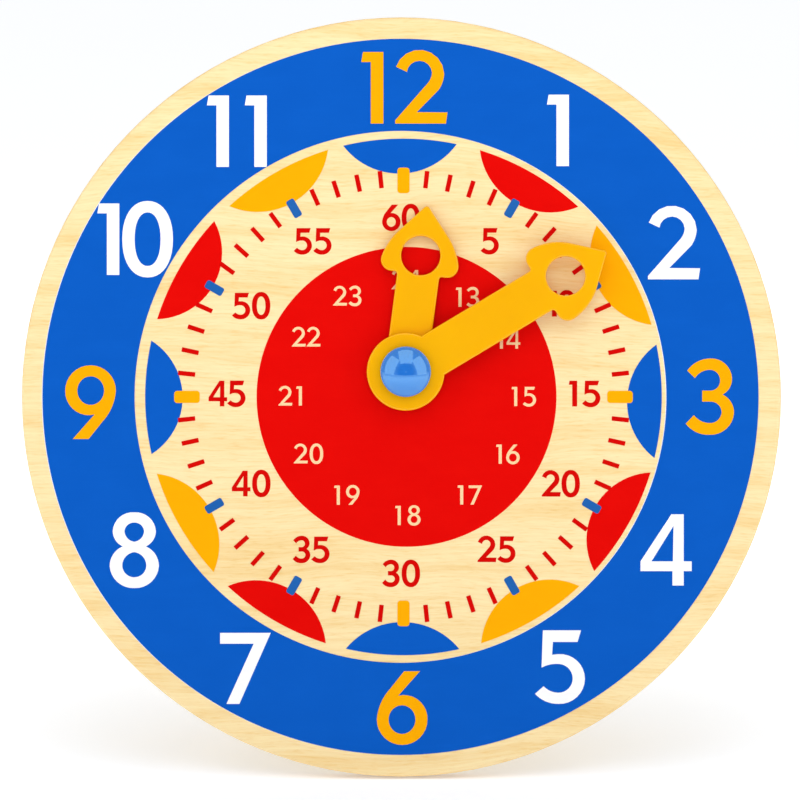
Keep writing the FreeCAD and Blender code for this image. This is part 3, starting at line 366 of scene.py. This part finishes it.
# The first petal's hour, then for each of the four, three hours apart, its turn in degrees from
# its true place and its smallest radius
PETALS = {
    "blue": (0, ((-0.8, 88.2), (1.0, 88.3), (0.2, 88.9), (-0.1, 87.2)), blue_ink),
    "red": (1, ((-0.1, 88.3), (-0.3, 87.2), (0.2, 88.1), (0.2, 87)), red_ink),
    "yellow": (2, ((1.1, 88.1), (-0.2, 87.7), (0.0, 88.3), (0.3, 88.3)), yellow_ink),
}


def arc_points(first, through, last, steps):
    """Points along the arc from first to last by way of a third point, without its start."""
    (ax, ay), (bx, by), (cx, cy) = first, through, last
    double = 2 * (ax * (by - cy) + bx * (cy - ay) + cx * (ay - by))
    squares = [x * x + y * y for x, y in (first, through, last)]
    x = (squares[0] * (by - cy) + squares[1] * (cy - ay) + squares[2] * (ay - by)) / double
    y = (squares[0] * (cx - bx) + squares[1] * (ax - cx) + squares[2] * (bx - ax)) / double
    radius = math.dist((x, y), first)
    start, middle, end = (math.atan2(py - y, px - x) for px, py in (first, through, last))
    sweep = (end - start) % (2 * math.pi)
    if (middle - start) % (2 * math.pi) > sweep:
        sweep -= 2 * math.pi
    angles = [start + sweep * step / steps for step in range(1, steps + 1)]
    return [(x + radius * math.cos(angle), y + radius * math.sin(angle)) for angle in angles]


def trace(steps, fineness=8):
    """Points round an outline of corners (x, y) and arcs (x, y on the way, x, y at the end)."""
    points = []
    for step in steps:
        if len(step) == 2:
            points.append(step)
        else:
            points += arc_points(points[-1], step[:2], step[2:], fineness)
    if math.dist(points[0], points[-1]) < CLOSED_GAP:
        points.pop()
    return points


def rounded_bar(width, length, corner):
    """Points round an upright bar about the origin with rounded corners."""
    points = []
    for x_side, y_side, start in ((1, 1, 0), (-1, 1, 90), (-1, -1, 180), (1, -1, 270)):
        for step in range(CORNER_STEPS + 1):
            angle = math.radians(start + 90 * step / CORNER_STEPS)
            x = x_side * (width / 2 - corner) + corner * math.cos(angle)
            y = y_side * (length / 2 - corner) + corner * math.sin(angle)
            points.append((x, y))
    return points


def make_ring_tree():
    """Repeat a mark round a circle, clockwise from the top, with room left at every so many."""
    tree = bpy.data.node_groups.new("ring_of_marks", "GeometryNodeTree")
    sockets = [
        ("Mark", "NodeSocketGeometry"), ("Count", "NodeSocketInt"), ("Room At", "NodeSocketInt"),
        ("Radius", "NodeSocketFloat"), ("Centre", "NodeSocketVector"),
        ("Material", "NodeSocketMaterial"),
    ]
    for label, kind in sockets:
        tree.interface.new_socket(label, in_out="INPUT", socket_type=kind)
    tree.interface.new_socket("Marks", in_out="OUTPUT", socket_type="NodeSocketGeometry")
    given = add(tree, "NodeGroupInput").outputs
    index = add(tree, "GeometryNodeInputIndex").outputs[0]
    full_turn = calculate(tree, "DIVIDE", 2 * math.pi, given["Count"])
    angle = calculate(tree, "MULTIPLY", index, full_turn)
    x = calculate(tree, "MULTIPLY", calculate(tree, "SINE", angle), given["Radius"])
    y = calculate(tree, "MULTIPLY", calculate(tree, "COSINE", angle), given["Radius"])
    spot = add(tree, "ShaderNodeCombineXYZ", {0: x, 1: y}).outputs[0]
    place = add(tree, "ShaderNodeVectorMath", {0: spot, 1: given["Centre"]}).outputs[0]
    clockwise = calculate(tree, "MULTIPLY", angle, -1.0)
    turn = add(tree, "ShaderNodeCombineXYZ", {2: clockwise}).outputs[0]
    past_room = calculate(tree, "FLOORED_MODULO", index, given["Room At"])
    between = calculate(tree, "GREATER_THAN", past_room, 0.5)
    no_room = calculate(tree, "LESS_THAN", given["Room At"], 0.5)
    kept = calculate(tree, "MAXIMUM", between, no_room)
    inputs = {"Count": given["Count"], "Position": place}
    points = add(tree, "GeometryNodePoints", inputs).outputs[0]
    inputs = {"Points": points, "Selection": kept, "Instance": given["Mark"], "Rotation": turn}
    marks = add(tree, "GeometryNodeInstanceOnPoints", inputs).outputs[0]
    marks = add(tree, "GeometryNodeRealizeInstances", {0: marks}).outputs[0]
    inputs = {"Geometry": marks, "Material": given["Material"]}
    marks = add(tree, "GeometryNodeSetMaterial", inputs).outputs[0]
    add(tree, "NodeGroupOutput", {0: marks})
    return tree


ring_tree = make_ring_tree()


def lay_marks(name, outline, centre, radius, count, room_at, material):
    """Print a mark round a circle given in millimetres, in the second layer of ink."""
    holder = bpy.data.objects.new(name, film_mesh(name, [outline], 2))
    bpy.context.collection.objects.link(holder)
    modifier = holder.modifiers.new(name, "NODES")
    modifier.node_group = ring_tree
    values = {
        "Count": count, "Room At": room_at, "Radius": radius * MM,
        "Centre": [part * MM for part in (*centre, 0)], "Material": material,
    }
    for socket in ring_tree.interface.items_tree:
        if socket.name in values:
            modifier[socket.identifier] = values[socket.name]
    lay_print(name, plain_mesh(holder, name), material)


def on_circle(radius, angle):
    """The point of a circle at an angle clockwise from the top."""
    return radius * math.sin(angle), radius * math.cos(angle)


def petal_outline(middle, inner_radius):
    """A petal's outline, given the angle of its middle and its smallest radius."""
    first, outer, last = (
        on_circle(PETAL_TIP_RADIUS, middle + side * PETAL_HALF_ANGLE) for side in (-1, 0, 1)
    )
    inner = on_circle(inner_radius, middle)
    outline = trace([first, (*outer, *last), (*inner, *first)], PETAL_ARC_STEPS)
    return [(PETALS_CENTRE[0] + x, PETALS_CENTRE[1] + y) for x, y in outline]


mark_ink = ink("mark_ink", colour(30, 94, 170), colour(38, 102, 176))
deep_red_ink = ink("deep_red_ink", colour(208, 3, 0), colour(214, 7, 2))
# Each kind of mark: its bar's width, length and corner, its circle's middle and radius, how many
# fill the circle, at every how many of them room is left (0 at none), and its ink
MARKS = {
    "minute_marks": ((1.8, 6.8, 0.2), (0.8, 0.16), 86.1, 60, 5, deep_red_ink),
    "five_minute_marks": ((3.4, 7.6, 0.8), (0.6, 0), 86, 12, 3, mark_ink),
    "quarter_marks": ((4.8, 10.1, 1.2), (0.8, 0), 85.5, 4, 0, yellow_ink),
}
for name, (hour, four, shade) in PETALS.items():
    petals = [
        petal_outline(math.radians(30 * hour + 90 * quarter + turn), inner_radius)
        for quarter, (turn, inner_radius) in enumerate(four)
    ]
    lay_print(f"petals_{name}", film_mesh(f"petals_{name}", petals, 1), shade)
for name, (bar, *circle) in MARKS.items():
    lay_marks(name, rounded_bar(*bar), *circle)


# Numbers: screen printed in three sizes, hours on the ring, minutes inside the marks and the
# hours after noon on the red disc. A digit is drawn once, 100 units tall, and placed where the
# photograph shows it.
DISC_PIXELS = 379.87
DISC_PIXEL_CENTRE = (401.45, 396.92)
PIXEL = dial_radius / MM / DISC_PIXELS
# Each digit's width, then its contours: its outline first, and the holes in it after that
ONE = (31.4, [[(2.5, 100), (31.4, 100), (31.4, 0), (13.3, 0), (13.3, 85.5), (0, 85.5)]])
TWO = (73.3, [trace([
    (0, 0), (71, 0), (73.3, 16.1), (31, 16.5), (61, 47), (66.3, 57.5, 68.6, 69.5),
    (34.4, 103, 1.1, 79), (16.7, 71.7), (34.4, 87.2, 51.1, 71), (49.8, 64.5, 44.4, 55.6), (0, 5),
])])
THREE = (67.8, [trace([
    (0, 12.5), (14.5, 0.5, 33, -3.3), (57.6, 5.6, 67.8, 27.2), (64, 42, 52.2, 52.8),
    (61.7, 62, 65, 75.8), (56.1, 95.2, 34.7, 103.3), (17, 99, 2.2, 86.1), (13.3, 75.3),
    (22.5, 84, 34.2, 87), (43.8, 82.8, 47.8, 73), (44, 62.5, 34.7, 58.6), (23, 58.6), (23, 42.8),
    (34, 42.8), (45.5, 38.6, 50, 28), (45, 17.7, 33, 13.6), (21.5, 16.5, 11.9, 24.7),
])])
FOUR = (71.9, [
    [(60.8, 99.7), (60.8, 34.4), (71.9, 34.4), (71.9, 20), (60.8, 20), (60.8, 0), (44.4, 0),
     (44.4, 20), (0, 20), (0, 34.2), (43, 99.7)],
    [(45, 34.4), (45.8, 81.7), (16.4, 34.4)],
])
FIVE = (70.3, [trace([
    (11.1, 100), (9.2, 47), (19.5, 51.2, 31, 52.5), (46.5, 46.8, 52.5, 32.8), (46.8, 19, 33, 13.3),
    (21.5, 16, 12.5, 22.5), (0, 11.4), (14.5, 0.8, 33, -3), (59.5, 7, 70.3, 31.9),
    (60, 57, 32.5, 66.9), (24.7, 66.1), (25.8, 83), (60, 83), (65, 100),
])])
SIX = (71, [
    trace([
        (38, 100), (18.6, 75.6), (5.3, 55, 0, 32.5), (10.4, 7.4, 35.6, -3), (60.6, 7.4, 71, 32.5),
        (61.5, 57, 36.7, 67), (30.8, 66.1), (60.8, 100),
    ]),
    oval((35.3, 32.5), 18.3, 19.6),
])
SEVEN = (71.4, [[(0, 99.5), (71.4, 99.5), (27.5, 0), (8.6, 0), (46.4, 83.6), (0, 83.6)]])
NINE = (71, [[(71 - x, 100 - y) for x, y in contour] for contour in SIX[1]])
ZERO = (71.1, [oval((35.6, 50), 35.6, 53.5, 2.2), oval((35.6, 50), 17.6, 36.8, 2.2)])
EIGHT_MIDDLE = 34.3


def both_sides(half):
    """Close the right half of an eight's outline with its mirror image."""
    return half + [(2 * EIGHT_MIDDLE - x, y) for x, y in reversed(half)]


EIGHT = (68.9, [
    both_sides(trace([
        (34.4, -3), (58.7, 6.1, 68.9, 28), (64, 44.5, 51.4, 55.3), (61.2, 64.3, 64.7, 76.7),
        (55.8, 95.5, 34.4, 103),
    ])),
    both_sides(trace([(34.4, 62.2), (44, 67.5, 47.5, 76.1), (43.6, 84.5, 34.4, 88)])),
    both_sides(trace([(34.4, 12.8), (45.8, 17.5, 50.6, 28.9), (45.8, 41, 34.4, 46.9)])),
])
DIGITS = (ZERO, ONE, TWO, THREE, FOUR, FIVE, SIX, SEVEN, EIGHT, NINE)


def swollen(outline, distance):
    """An outline with every side moved out by a distance, or in where it is negative."""
    corners = [Vector(corner) for corner in outline]
    behind = corners[-1:] + corners[:-1]
    ahead = corners[1:] + corners[:1]
    doubled_area = sum(corner.cross(after) for corner, after in zip(corners, ahead))
    outwards = math.copysign(1, doubled_area) * distance
    moved = []
    for before, corner, after in zip(behind, corners, ahead):
        arriving = (corner - before).normalized()
        leaving = (after - corner).normalized()
        both = (arriving + leaving) * outwards / (1 + arriving.dot(leaving))
        moved.append((corner.x + both.y, corner.y - both.x))
    return moved


def number_contours(number, left, baseline, unit, weight, gap=0.0):
    """A number's contours in millimetres, its left end and baseline in photograph pixels."""
    contours = []
    reach = 0.0
    for digit in str(number):
        width, (outline, *holes) = DIGITS[int(digit)]
        for shape, swell in ((outline, weight), *((hole, -weight) for hole in holes)):
            contour = []
            for x, y in shape:
                across = left + (reach + x) * unit - DISC_PIXEL_CENTRE[0]
                above = DISC_PIXEL_CENTRE[1] - baseline + y * unit
                contour.append((across * PIXEL, above * PIXEL))
            contours.append(swollen(contour, swell))
        reach += width + gap
    return contours


def print_numbers(name, numbers, unit, weight, layer, material):
    """Print a set of numbers, each given by its value, left end, baseline and inner gap."""
    contours = []
    for number, left, baseline, *gap in numbers:
        contours += number_contours(number, left, baseline, unit, weight, *gap)
    lay_print(name, film_mesh(name, contours, layer), material)


# A unit of each size of number in pixels, and how many millimetres its outline is swollen by
HOUR_UNIT, MINUTE_UNIT, DAY_UNIT = 0.72, 0.254, 0.197
HOUR_WEIGHT, QUARTER_WEIGHT, MINUTE_WEIGHT, DAY_WEIGHT = -0.12, -0.08, 0.07, -0.1
QUARTER_HOURS = [(12, 361, 123.8, 15.8), (3, 685.4, 432.6), (6, 376.6, 743), (9, 65, 439.2)]
OTHER_HOURS = [
    (1, 546.6, 166.4), (2, 647.6, 279.6), (4, 640.2, 585.8), (5, 534.6, 702),
    (7, 219.8, 704.2), (8, 109.6, 586.2), (10, 97, 275.2, 3.3), (11, 206.6, 167.2, 21.2),
]
MINUTES = [
    (60, 382.3, 230.2, 5.6), (5, 480.8, 253.6), (10, 548.7, 316.4, 4), (15, 569, 406.3, 21),
    (20, 541.9, 496.4, 4.5), (25, 477.7, 561.9, 4.5), (30, 382.3, 586.1, 9),
    (35, 292.9, 562.2, 5.6), (40, 232, 496.2, 8), (45, 208.7, 406.2, 2), (50, 232.2, 318.4, 8),
    (55, 293.9, 253.7, 7),
]
AFTERNOON_HOURS = [
    (13, 455.6, 307, 22), (14, 497, 348.9, 16), (15, 511.3, 406.3, 25), (16, 495.8, 464, 20),
    (17, 457.3, 504.8, 25), (18, 394.8, 525.3, 32), (19, 333.9, 505, 29), (20, 293.6, 463.6, 7),
    (21, 278.2, 405.8, 17), (22, 291.6, 346.8, 2), (23, 332.9, 305.8, 5), (24, 391.4, 289.5, 3),
]
print_numbers("quarter_hour_numbers", QUARTER_HOURS, HOUR_UNIT, QUARTER_WEIGHT, 3, yellow_ink)
print_numbers("hour_numbers", OTHER_HOURS, HOUR_UNIT, HOUR_WEIGHT, 3, white_ink)
print_numbers("minute_numbers", MINUTES, MINUTE_UNIT, MINUTE_WEIGHT, 1, deep_red_ink)
cream_ink = ink("cream_ink", colour(250, 214, 164), colour(247, 207, 152))
print_numbers("afternoon_numbers", AFTERNOON_HOURS, DAY_UNIT, DAY_WEIGHT, 2, cream_ink)


# Hands, and the yellow gears behind them: moulded in one yellow plastic, satin from the mould.
# Faint flow clouds run through it, and fine scuffs show where small fingers turn the hands.
SKIN_DEPTH = 0.02 * MM


def make_moulded_group():
    """Moulded plastic: flow clouds in the colour, scuffs in the gloss, a faint uneven skin."""
    inputs = [
        ("Vector", "NodeSocketVector"), ("Shade", "NodeSocketColor"), ("Cloud", "NodeSocketColor"),
    ]
    outputs = [
        ("Color", "NodeSocketColor"), ("Scuffs", "NodeSocketFloat"), ("Skin", "NodeSocketFloat"),
    ]
    group, given, result = new_group("moulded_plastic", inputs, outputs)
    vector = given["Vector"]
    clouds = spread(group, stretched_noise(group, vector, (38, 38, 38), 3.0), 0.36, 0.7)
    group.links.new(blend(group, clouds, given["Shade"], given["Cloud"]), result["Color"])
    scratches = spread(group, stretched_noise(group, vector, (150, 2400, 900), 2.0), 0.62, 0.74)
    patches = spread(group, stretched_noise(group, vector, (110, 110, 110), 3.0), 0.42, 0.66)
    group.links.new(calculate(group, "MULTIPLY", scratches, patches), result["Scuffs"])
    group.links.new(stretched_noise(group, vector, (900, 900, 900), 2.0), result["Skin"])
    return group


moulded_group = make_moulded_group()


def moulded_plastic(name, shade, cloud, gloss, scuffed, even_values, skin_depth=SKIN_DEPTH):
    """A plastic whose roughness runs from gloss to scuffed along its scratches."""
    material, tree, shader = new_material(name, even_values)
    look = add(tree, "ShaderNodeGroup", node_tree=moulded_group)
    tree.links.new(add(tree, "ShaderNodeTexCoord").outputs["Object"], look.inputs["Vector"])
    look.inputs["Shade"].default_value = shade
    look.inputs["Cloud"].default_value = cloud
    tree.links.new(look.outputs["Color"], shader.inputs["Base Color"])
    roughness = spread(tree, look.outputs["Scuffs"], 0.0, 1.0, gloss, scuffed)
    tree.links.new(roughness, shader.inputs["Roughness"])
    link_bump(tree, shader, look.outputs["Skin"], skin_depth)
    return material


soft_light = {
    "Subsurface Weight": 0.08, "Subsurface Radius": (0.0012, 0.0008, 0.0003),
    "Subsurface Scale": 1.0,
}
yellow_plastic = moulded_plastic(
    "yellow_plastic", colour(247, 179, 0), colour(243, 173, 0), 0.14, 0.3,
    {"Specular IOR Level": 0.3, **soft_light},
)
for name in ("minute_hand", "hour_hand", "hour_wheel", "minute_pinion"):
    finish_node(name, yellow_plastic)


# Cap and setting knob: moulded in blue plastic, the domed cap polished bright, the fluted knob
# left satin, as the blue idler wheel is.
POLISHED_DEPTH = 0.004 * MM

polish = {
    "IOR": 1.72, "Specular IOR Level": 1.0, "Specular Tint": (0.5, 1.0, 1.0, 1),
    "Coat Weight": 0.5,
}
polished_blue = moulded_plastic(
    "polished_blue_plastic", colour(40, 122, 220), colour(34, 116, 214), 0.05, 0.12, polish,
    POLISHED_DEPTH,
)
satin_blue = moulded_plastic(
    "blue_plastic", colour(30, 104, 204), colour(24, 94, 190), 0.3, 0.5,
    {"IOR": 1.49, **soft_light},
)
finish_node("dome_cap", polished_blue)
finish_node("setting_knob", satin_blue)
finish_node("idler_gear", satin_blue)


# Gear case: a white moulded tray screwed to the back of the dial, with a clear lid so that
# children can watch the wheels turn. The bush, the spacers and the cap's ring are white too.
CLEAR_DEPTH = 0.003 * MM

white_plastic = moulded_plastic(
    "white_plastic", colour(240, 240, 236), colour(232, 232, 226), 0.36, 0.55,
    {"IOR": 1.5, **soft_light},
)
for name in ("gear_case_base", "centre_bush", "hour_washer", "minute_washer", "cap_grip_ring"):
    finish_node(name, white_plastic)
clear_plastic = moulded_plastic(
    "clear_plastic", colour(246, 250, 252), colour(240, 246, 250), 0.05, 0.3,
    {"IOR": 1.49, "Transmission Weight": 1.0}, CLEAR_DEPTH,
)
finish_node("gear_case_cover", clear_plastic)


# Turned and pressed metal: ground steel arbor, post and hinge pin; zinc-plated screws and hinge
# leaves; a blued spring clip.
TOOL_MARK_DEPTH = 0.012 * MM
ZINC_PLATED = (
    "case_screws", "knob_screw", "board_hinge_screws", "leg_hinge_screws", "hinge_leaf_board",
    "hinge_leaf_leg",
)


def make_metal_group():
    """Worked metal: tool marks one way, plating clouds, and small dull spots of handling."""
    inputs = [
        ("Vector", "NodeSocketVector"), ("Bright", "NodeSocketColor"), ("Dull", "NodeSocketColor"),
    ]
    outputs = [
        ("Color", "NodeSocketColor"), ("Marks", "NodeSocketFloat"), ("Spots", "NodeSocketFloat"),
    ]
    group, given, result = new_group("worked_metal", inputs, outputs)
    vector = given["Vector"]
    marks = stretched_noise(group, vector, (240, 2600, 2600), 3.0)
    clouds = stretched_noise(group, vector, (190, 190, 190), 4.0)
    spots = spread(group, stretched_noise(group, vector, (420, 420, 420), 2.0), 0.58, 0.72)
    cloudy = spread(group, clouds, 0.35, 0.75, 0.0, 0.6)
    tint = calculate(group, "MULTIPLY_ADD", spots, 0.4, cloudy)
    group.links.new(blend(group, tint, given["Bright"], given["Dull"]), result["Color"])
    group.links.new(marks, result["Marks"])
    group.links.new(spots, result["Spots"])
    return group


metal_group = make_metal_group()


def worked_metal(name, bright, dull, smooth, rough):
    """A metal whose roughness runs from smooth to rough over its dull spots."""
    material, tree, shader = new_material(name, {"Metallic": 1.0})
    look = add(tree, "ShaderNodeGroup", node_tree=metal_group)
    tree.links.new(add(tree, "ShaderNodeTexCoord").outputs["Object"], look.inputs["Vector"])
    look.inputs["Bright"].default_value = bright
    look.inputs["Dull"].default_value = dull
    tree.links.new(look.outputs["Color"], shader.inputs["Base Color"])
    roughness = spread(tree, look.outputs["Spots"], 0.0, 1.0, smooth, rough)
    tree.links.new(roughness, shader.inputs["Roughness"])
    link_bump(tree, shader, look.outputs["Marks"], TOOL_MARK_DEPTH)
    return material


bright_steel = worked_metal("bright_steel", colour(205, 206, 208), colour(178, 180, 184), 0.2, 0.4)
zinc_steel = worked_metal("zinc_steel", colour(198, 202, 206), colour(160, 166, 174), 0.26, 0.5)
spring_steel = worked_metal("spring_steel", colour(92, 98, 116), colour(66, 70, 84), 0.3, 0.5)
for name in ("minute_arbor", "idler_post", "hinge_pin"):
    finish_node(name, bright_steel)
for name in ZINC_PLATED:
    finish_node(name, zinc_steel)
finish_node("idler_clip", spring_steel)


# Friction washer: punched from red vulcanised fibre, a hard paper board with a woolly surface.
# It sits between the case's lid and the setting knob, and its rub keeps the set time.
FIBRE_DEPTH = 0.05 * MM
BLOOM_FALL = 0.12


def matt_board(name, shade, fleck, grain, roughness, depth):
    """A dull material of small grains: fibre board, or rubber with a dusty bloom."""
    material, tree, shader = new_material(name, {"IOR": 1.45})
    vector = add(tree, "ShaderNodeTexCoord").outputs["Object"]
    grains = stretched_noise(tree, vector, grain, 4.0, 0.6)
    bloom = stretched_noise(tree, vector, (160, 160, 160), 3.0)
    flecks, dusty = spread(tree, grains, 0.45, 0.7), spread(tree, bloom, 0.3, 0.7)
    tint = calculate(tree, "MULTIPLY", flecks, dusty)
    tree.links.new(blend(tree, tint, shade, fleck), shader.inputs["Base Color"])
    dullness = spread(tree, bloom, 0.3, 0.7, roughness - BLOOM_FALL, roughness)
    tree.links.new(dullness, shader.inputs["Roughness"])
    link_bump(tree, shader, grains, depth)
    return material


red_fibre = matt_board(
    "red_fibre", colour(140, 38, 28), colour(176, 84, 66), (700, 700, 3000), 0.8, FIBRE_DEPTH,
)
finish_node("friction_washer", red_fibre)


# Leg and feet: a frame sawn from 5 mm birch plywood on a butt hinge, its grain up and down,
# with a rubber pad glued under each foot.
leg_fold = next(joint for joint in frame["joints"] if joint["name"] == "leg_fold")
LEG_THICKNESS = 5 * MM
LEG_PLIES = 5
RUBBER_DEPTH = 0.04 * MM
leg_turn = Matrix.Rotation(math.radians(-leg_fold["range_deg"][0]), 3, "X")
leg_out = leg_turn @ face_out
leg_up = leg_turn @ face_up
leg_front = max(vertex.co.dot(leg_out) for vertex in nodes["stand_leg"].data.vertices)
leg_place = Matrix((leg_up, -face_right, leg_out)).transposed().to_4x4()
leg_place.translation = leg_out * leg_front
leg_ply = birch_plywood(
    "birch_ply_leg", leg_place, LEG_THICKNESS / LEG_PLIES,
    colour(250, 228, 178), colour(236, 198, 132),
)
finish_node("stand_leg", leg_ply)
dark_rubber = matt_board(
    "dark_rubber", colour(38, 38, 40), colour(66, 65, 64), (1500, 1500, 1500), 0.85,
    RUBBER_DEPTH,
)
finish_node("foot_pads", dark_rubber)


# Floor: a wide sheet of white studio paper. Its emission is painted light, a glow that rises
# towards its far parts so that it runs out to white all round the clock.
FLOOR_HALF_WIDTH = 7.0
PAPER_NEAR, PAPER_FAR = 0.1, 0.5
PAPER_GLOW_NEAR, PAPER_GLOW_FAR = 0.275, 0.63

floor_mesh = bpy.data.meshes.new("floor")
floor_signs = ((-1, -1), (1, -1), (1, 1), (-1, 1))
floor_corners = [(x * FLOOR_HALF_WIDTH, y * FLOOR_HALF_WIDTH, 0) for x, y in floor_signs]
floor_mesh.from_pydata(floor_corners, [], [(0, 1, 2, 3)])
floor = bpy.data.objects.new("floor", floor_mesh)
bpy.context.collection.objects.link(floor)
paper_values = {"Roughness": 0.9, "Specular IOR Level": 0.1}
paper, paper_tree, paper_shader = new_material("white_paper", paper_values)
paper_vector = add(paper_tree, "ShaderNodeTexCoord").outputs["Object"]
paper_clouds = stretched_noise(paper_tree, paper_vector, (3, 3, 3), 2.0)
paper_shade = blend(paper_tree, paper_clouds, colour(236, 241, 249), colour(240, 244, 251))
paper_tree.links.new(paper_shade, paper_shader.inputs["Base Color"])
paper_reach = add(paper_tree, "ShaderNodeVectorMath", {0: paper_vector}, operation="LENGTH")
from_middle = paper_reach.outputs["Value"]
# Painted light: the paper's emission grows with distance from the middle, weakest beside the clock
paper_glow = spread(
    paper_tree, from_middle, PAPER_NEAR, PAPER_FAR, PAPER_GLOW_NEAR, PAPER_GLOW_FAR
)
paper_tree.links.new(paper_glow, paper_shader.inputs["Emission Strength"])
paper_shader.inputs["Emission Color"].default_value = (1, 1, 1, 1)
floor_mesh.materials.append(paper)


# Light: a white room, dark only behind the camera, and three softboxes round the camera, at the
# left, the right and above, whose windows show in the polished cap. A fill from the front isn't
# seen in gloss, and a weak softbox lights the back.
ROOM_STRENGTH = 0.4
DARK_STRENGTH = 0.04
DARK_EDGE, DARK_START = math.cos(math.radians(24)), math.cos(math.radians(38))
SOFTBOX_DISTANCE = 0.95
SOFTBOX_SIZE = (0.75, 1.0)
# Name, tilt from straight in front, place in degrees clockwise from the left, watts, seen in gloss
SOFTBOXES = (
    ("left", 60, 24, 2.45, True), ("right", 60, 157, 2.45, True), ("top", 58, 91, 2.4, True),
    ("front", 14, 90, 1.8, False), ("behind", 140, 90, 2.0, True),
)

world = bpy.data.worlds.new("white_room")
world.use_nodes = True
room = world.node_tree
way = {0: add(room, "ShaderNodeTexCoord").outputs["Generated"], 1: face_out}
frontal = add(room, "ShaderNodeVectorMath", way, operation="DOT_PRODUCT").outputs["Value"]
walls = spread(room, frontal, DARK_START, DARK_EDGE, ROOM_STRENGTH, DARK_STRENGTH)
seen = add(room, "ShaderNodeLightPath").outputs["Is Camera Ray"]
room_light = room.nodes["Background"].inputs
room.links.new(spread(room, seen, 0.0, 1.0, walls, 1.0), room_light["Strength"])
room_light["Color"].default_value = (1, 1, 1, 1)
bpy.context.scene.world = world
for name, *angles, watts, in_gloss in SOFTBOXES:
    light = bpy.data.lights.new(f"softbox_{name}", "AREA")
    light.shape = "RECTANGLE"
    light.size, light.size_y = SOFTBOX_SIZE
    light.energy = watts
    tilt, clock = map(math.radians, angles)
    sideways = face_right * -math.cos(clock) + face_up * math.sin(clock)
    outwards = face_out * math.cos(tilt) + sideways * math.sin(tilt)
    softbox = bpy.data.objects.new(f"softbox_{name}", light)
    softbox.visible_glossy = in_gloss
    softbox.location = dial_centre + outwards * SOFTBOX_DISTANCE
    softbox.rotation_euler = outwards.to_track_quat("Z", "Y").to_euler()
    bpy.context.collection.objects.link(softbox)


# Camera: square to the dial's face from far off, as the photograph is taken. Its lens and its
# place give the disc the size and the place that it has there, in pixels.
CAMERA_DISTANCE = 2.6
IMAGE_PIXELS = 800
SENSOR_WIDTH = 36.0

camera_data = bpy.data.cameras.new("camera")
camera_data.sensor_width = SENSOR_WIDTH
camera_data.lens = DISC_PIXELS / IMAGE_PIXELS * SENSOR_WIDTH * CAMERA_DISTANCE / dial_radius
camera = bpy.data.objects.new("camera", camera_data)
aside = (IMAGE_PIXELS / 2 - DISC_PIXEL_CENTRE[0]) * PIXEL * MM
above = (DISC_PIXEL_CENTRE[1] - IMAGE_PIXELS / 2) * PIXEL * MM
camera.matrix_world = dial_place @ Matrix.Translation((aside, above, CAMERA_DISTANCE))
bpy.context.collection.objects.link(camera)
bpy.context.scene.camera = camera
bpy.context.scene.view_settings.view_transform = "Standard"
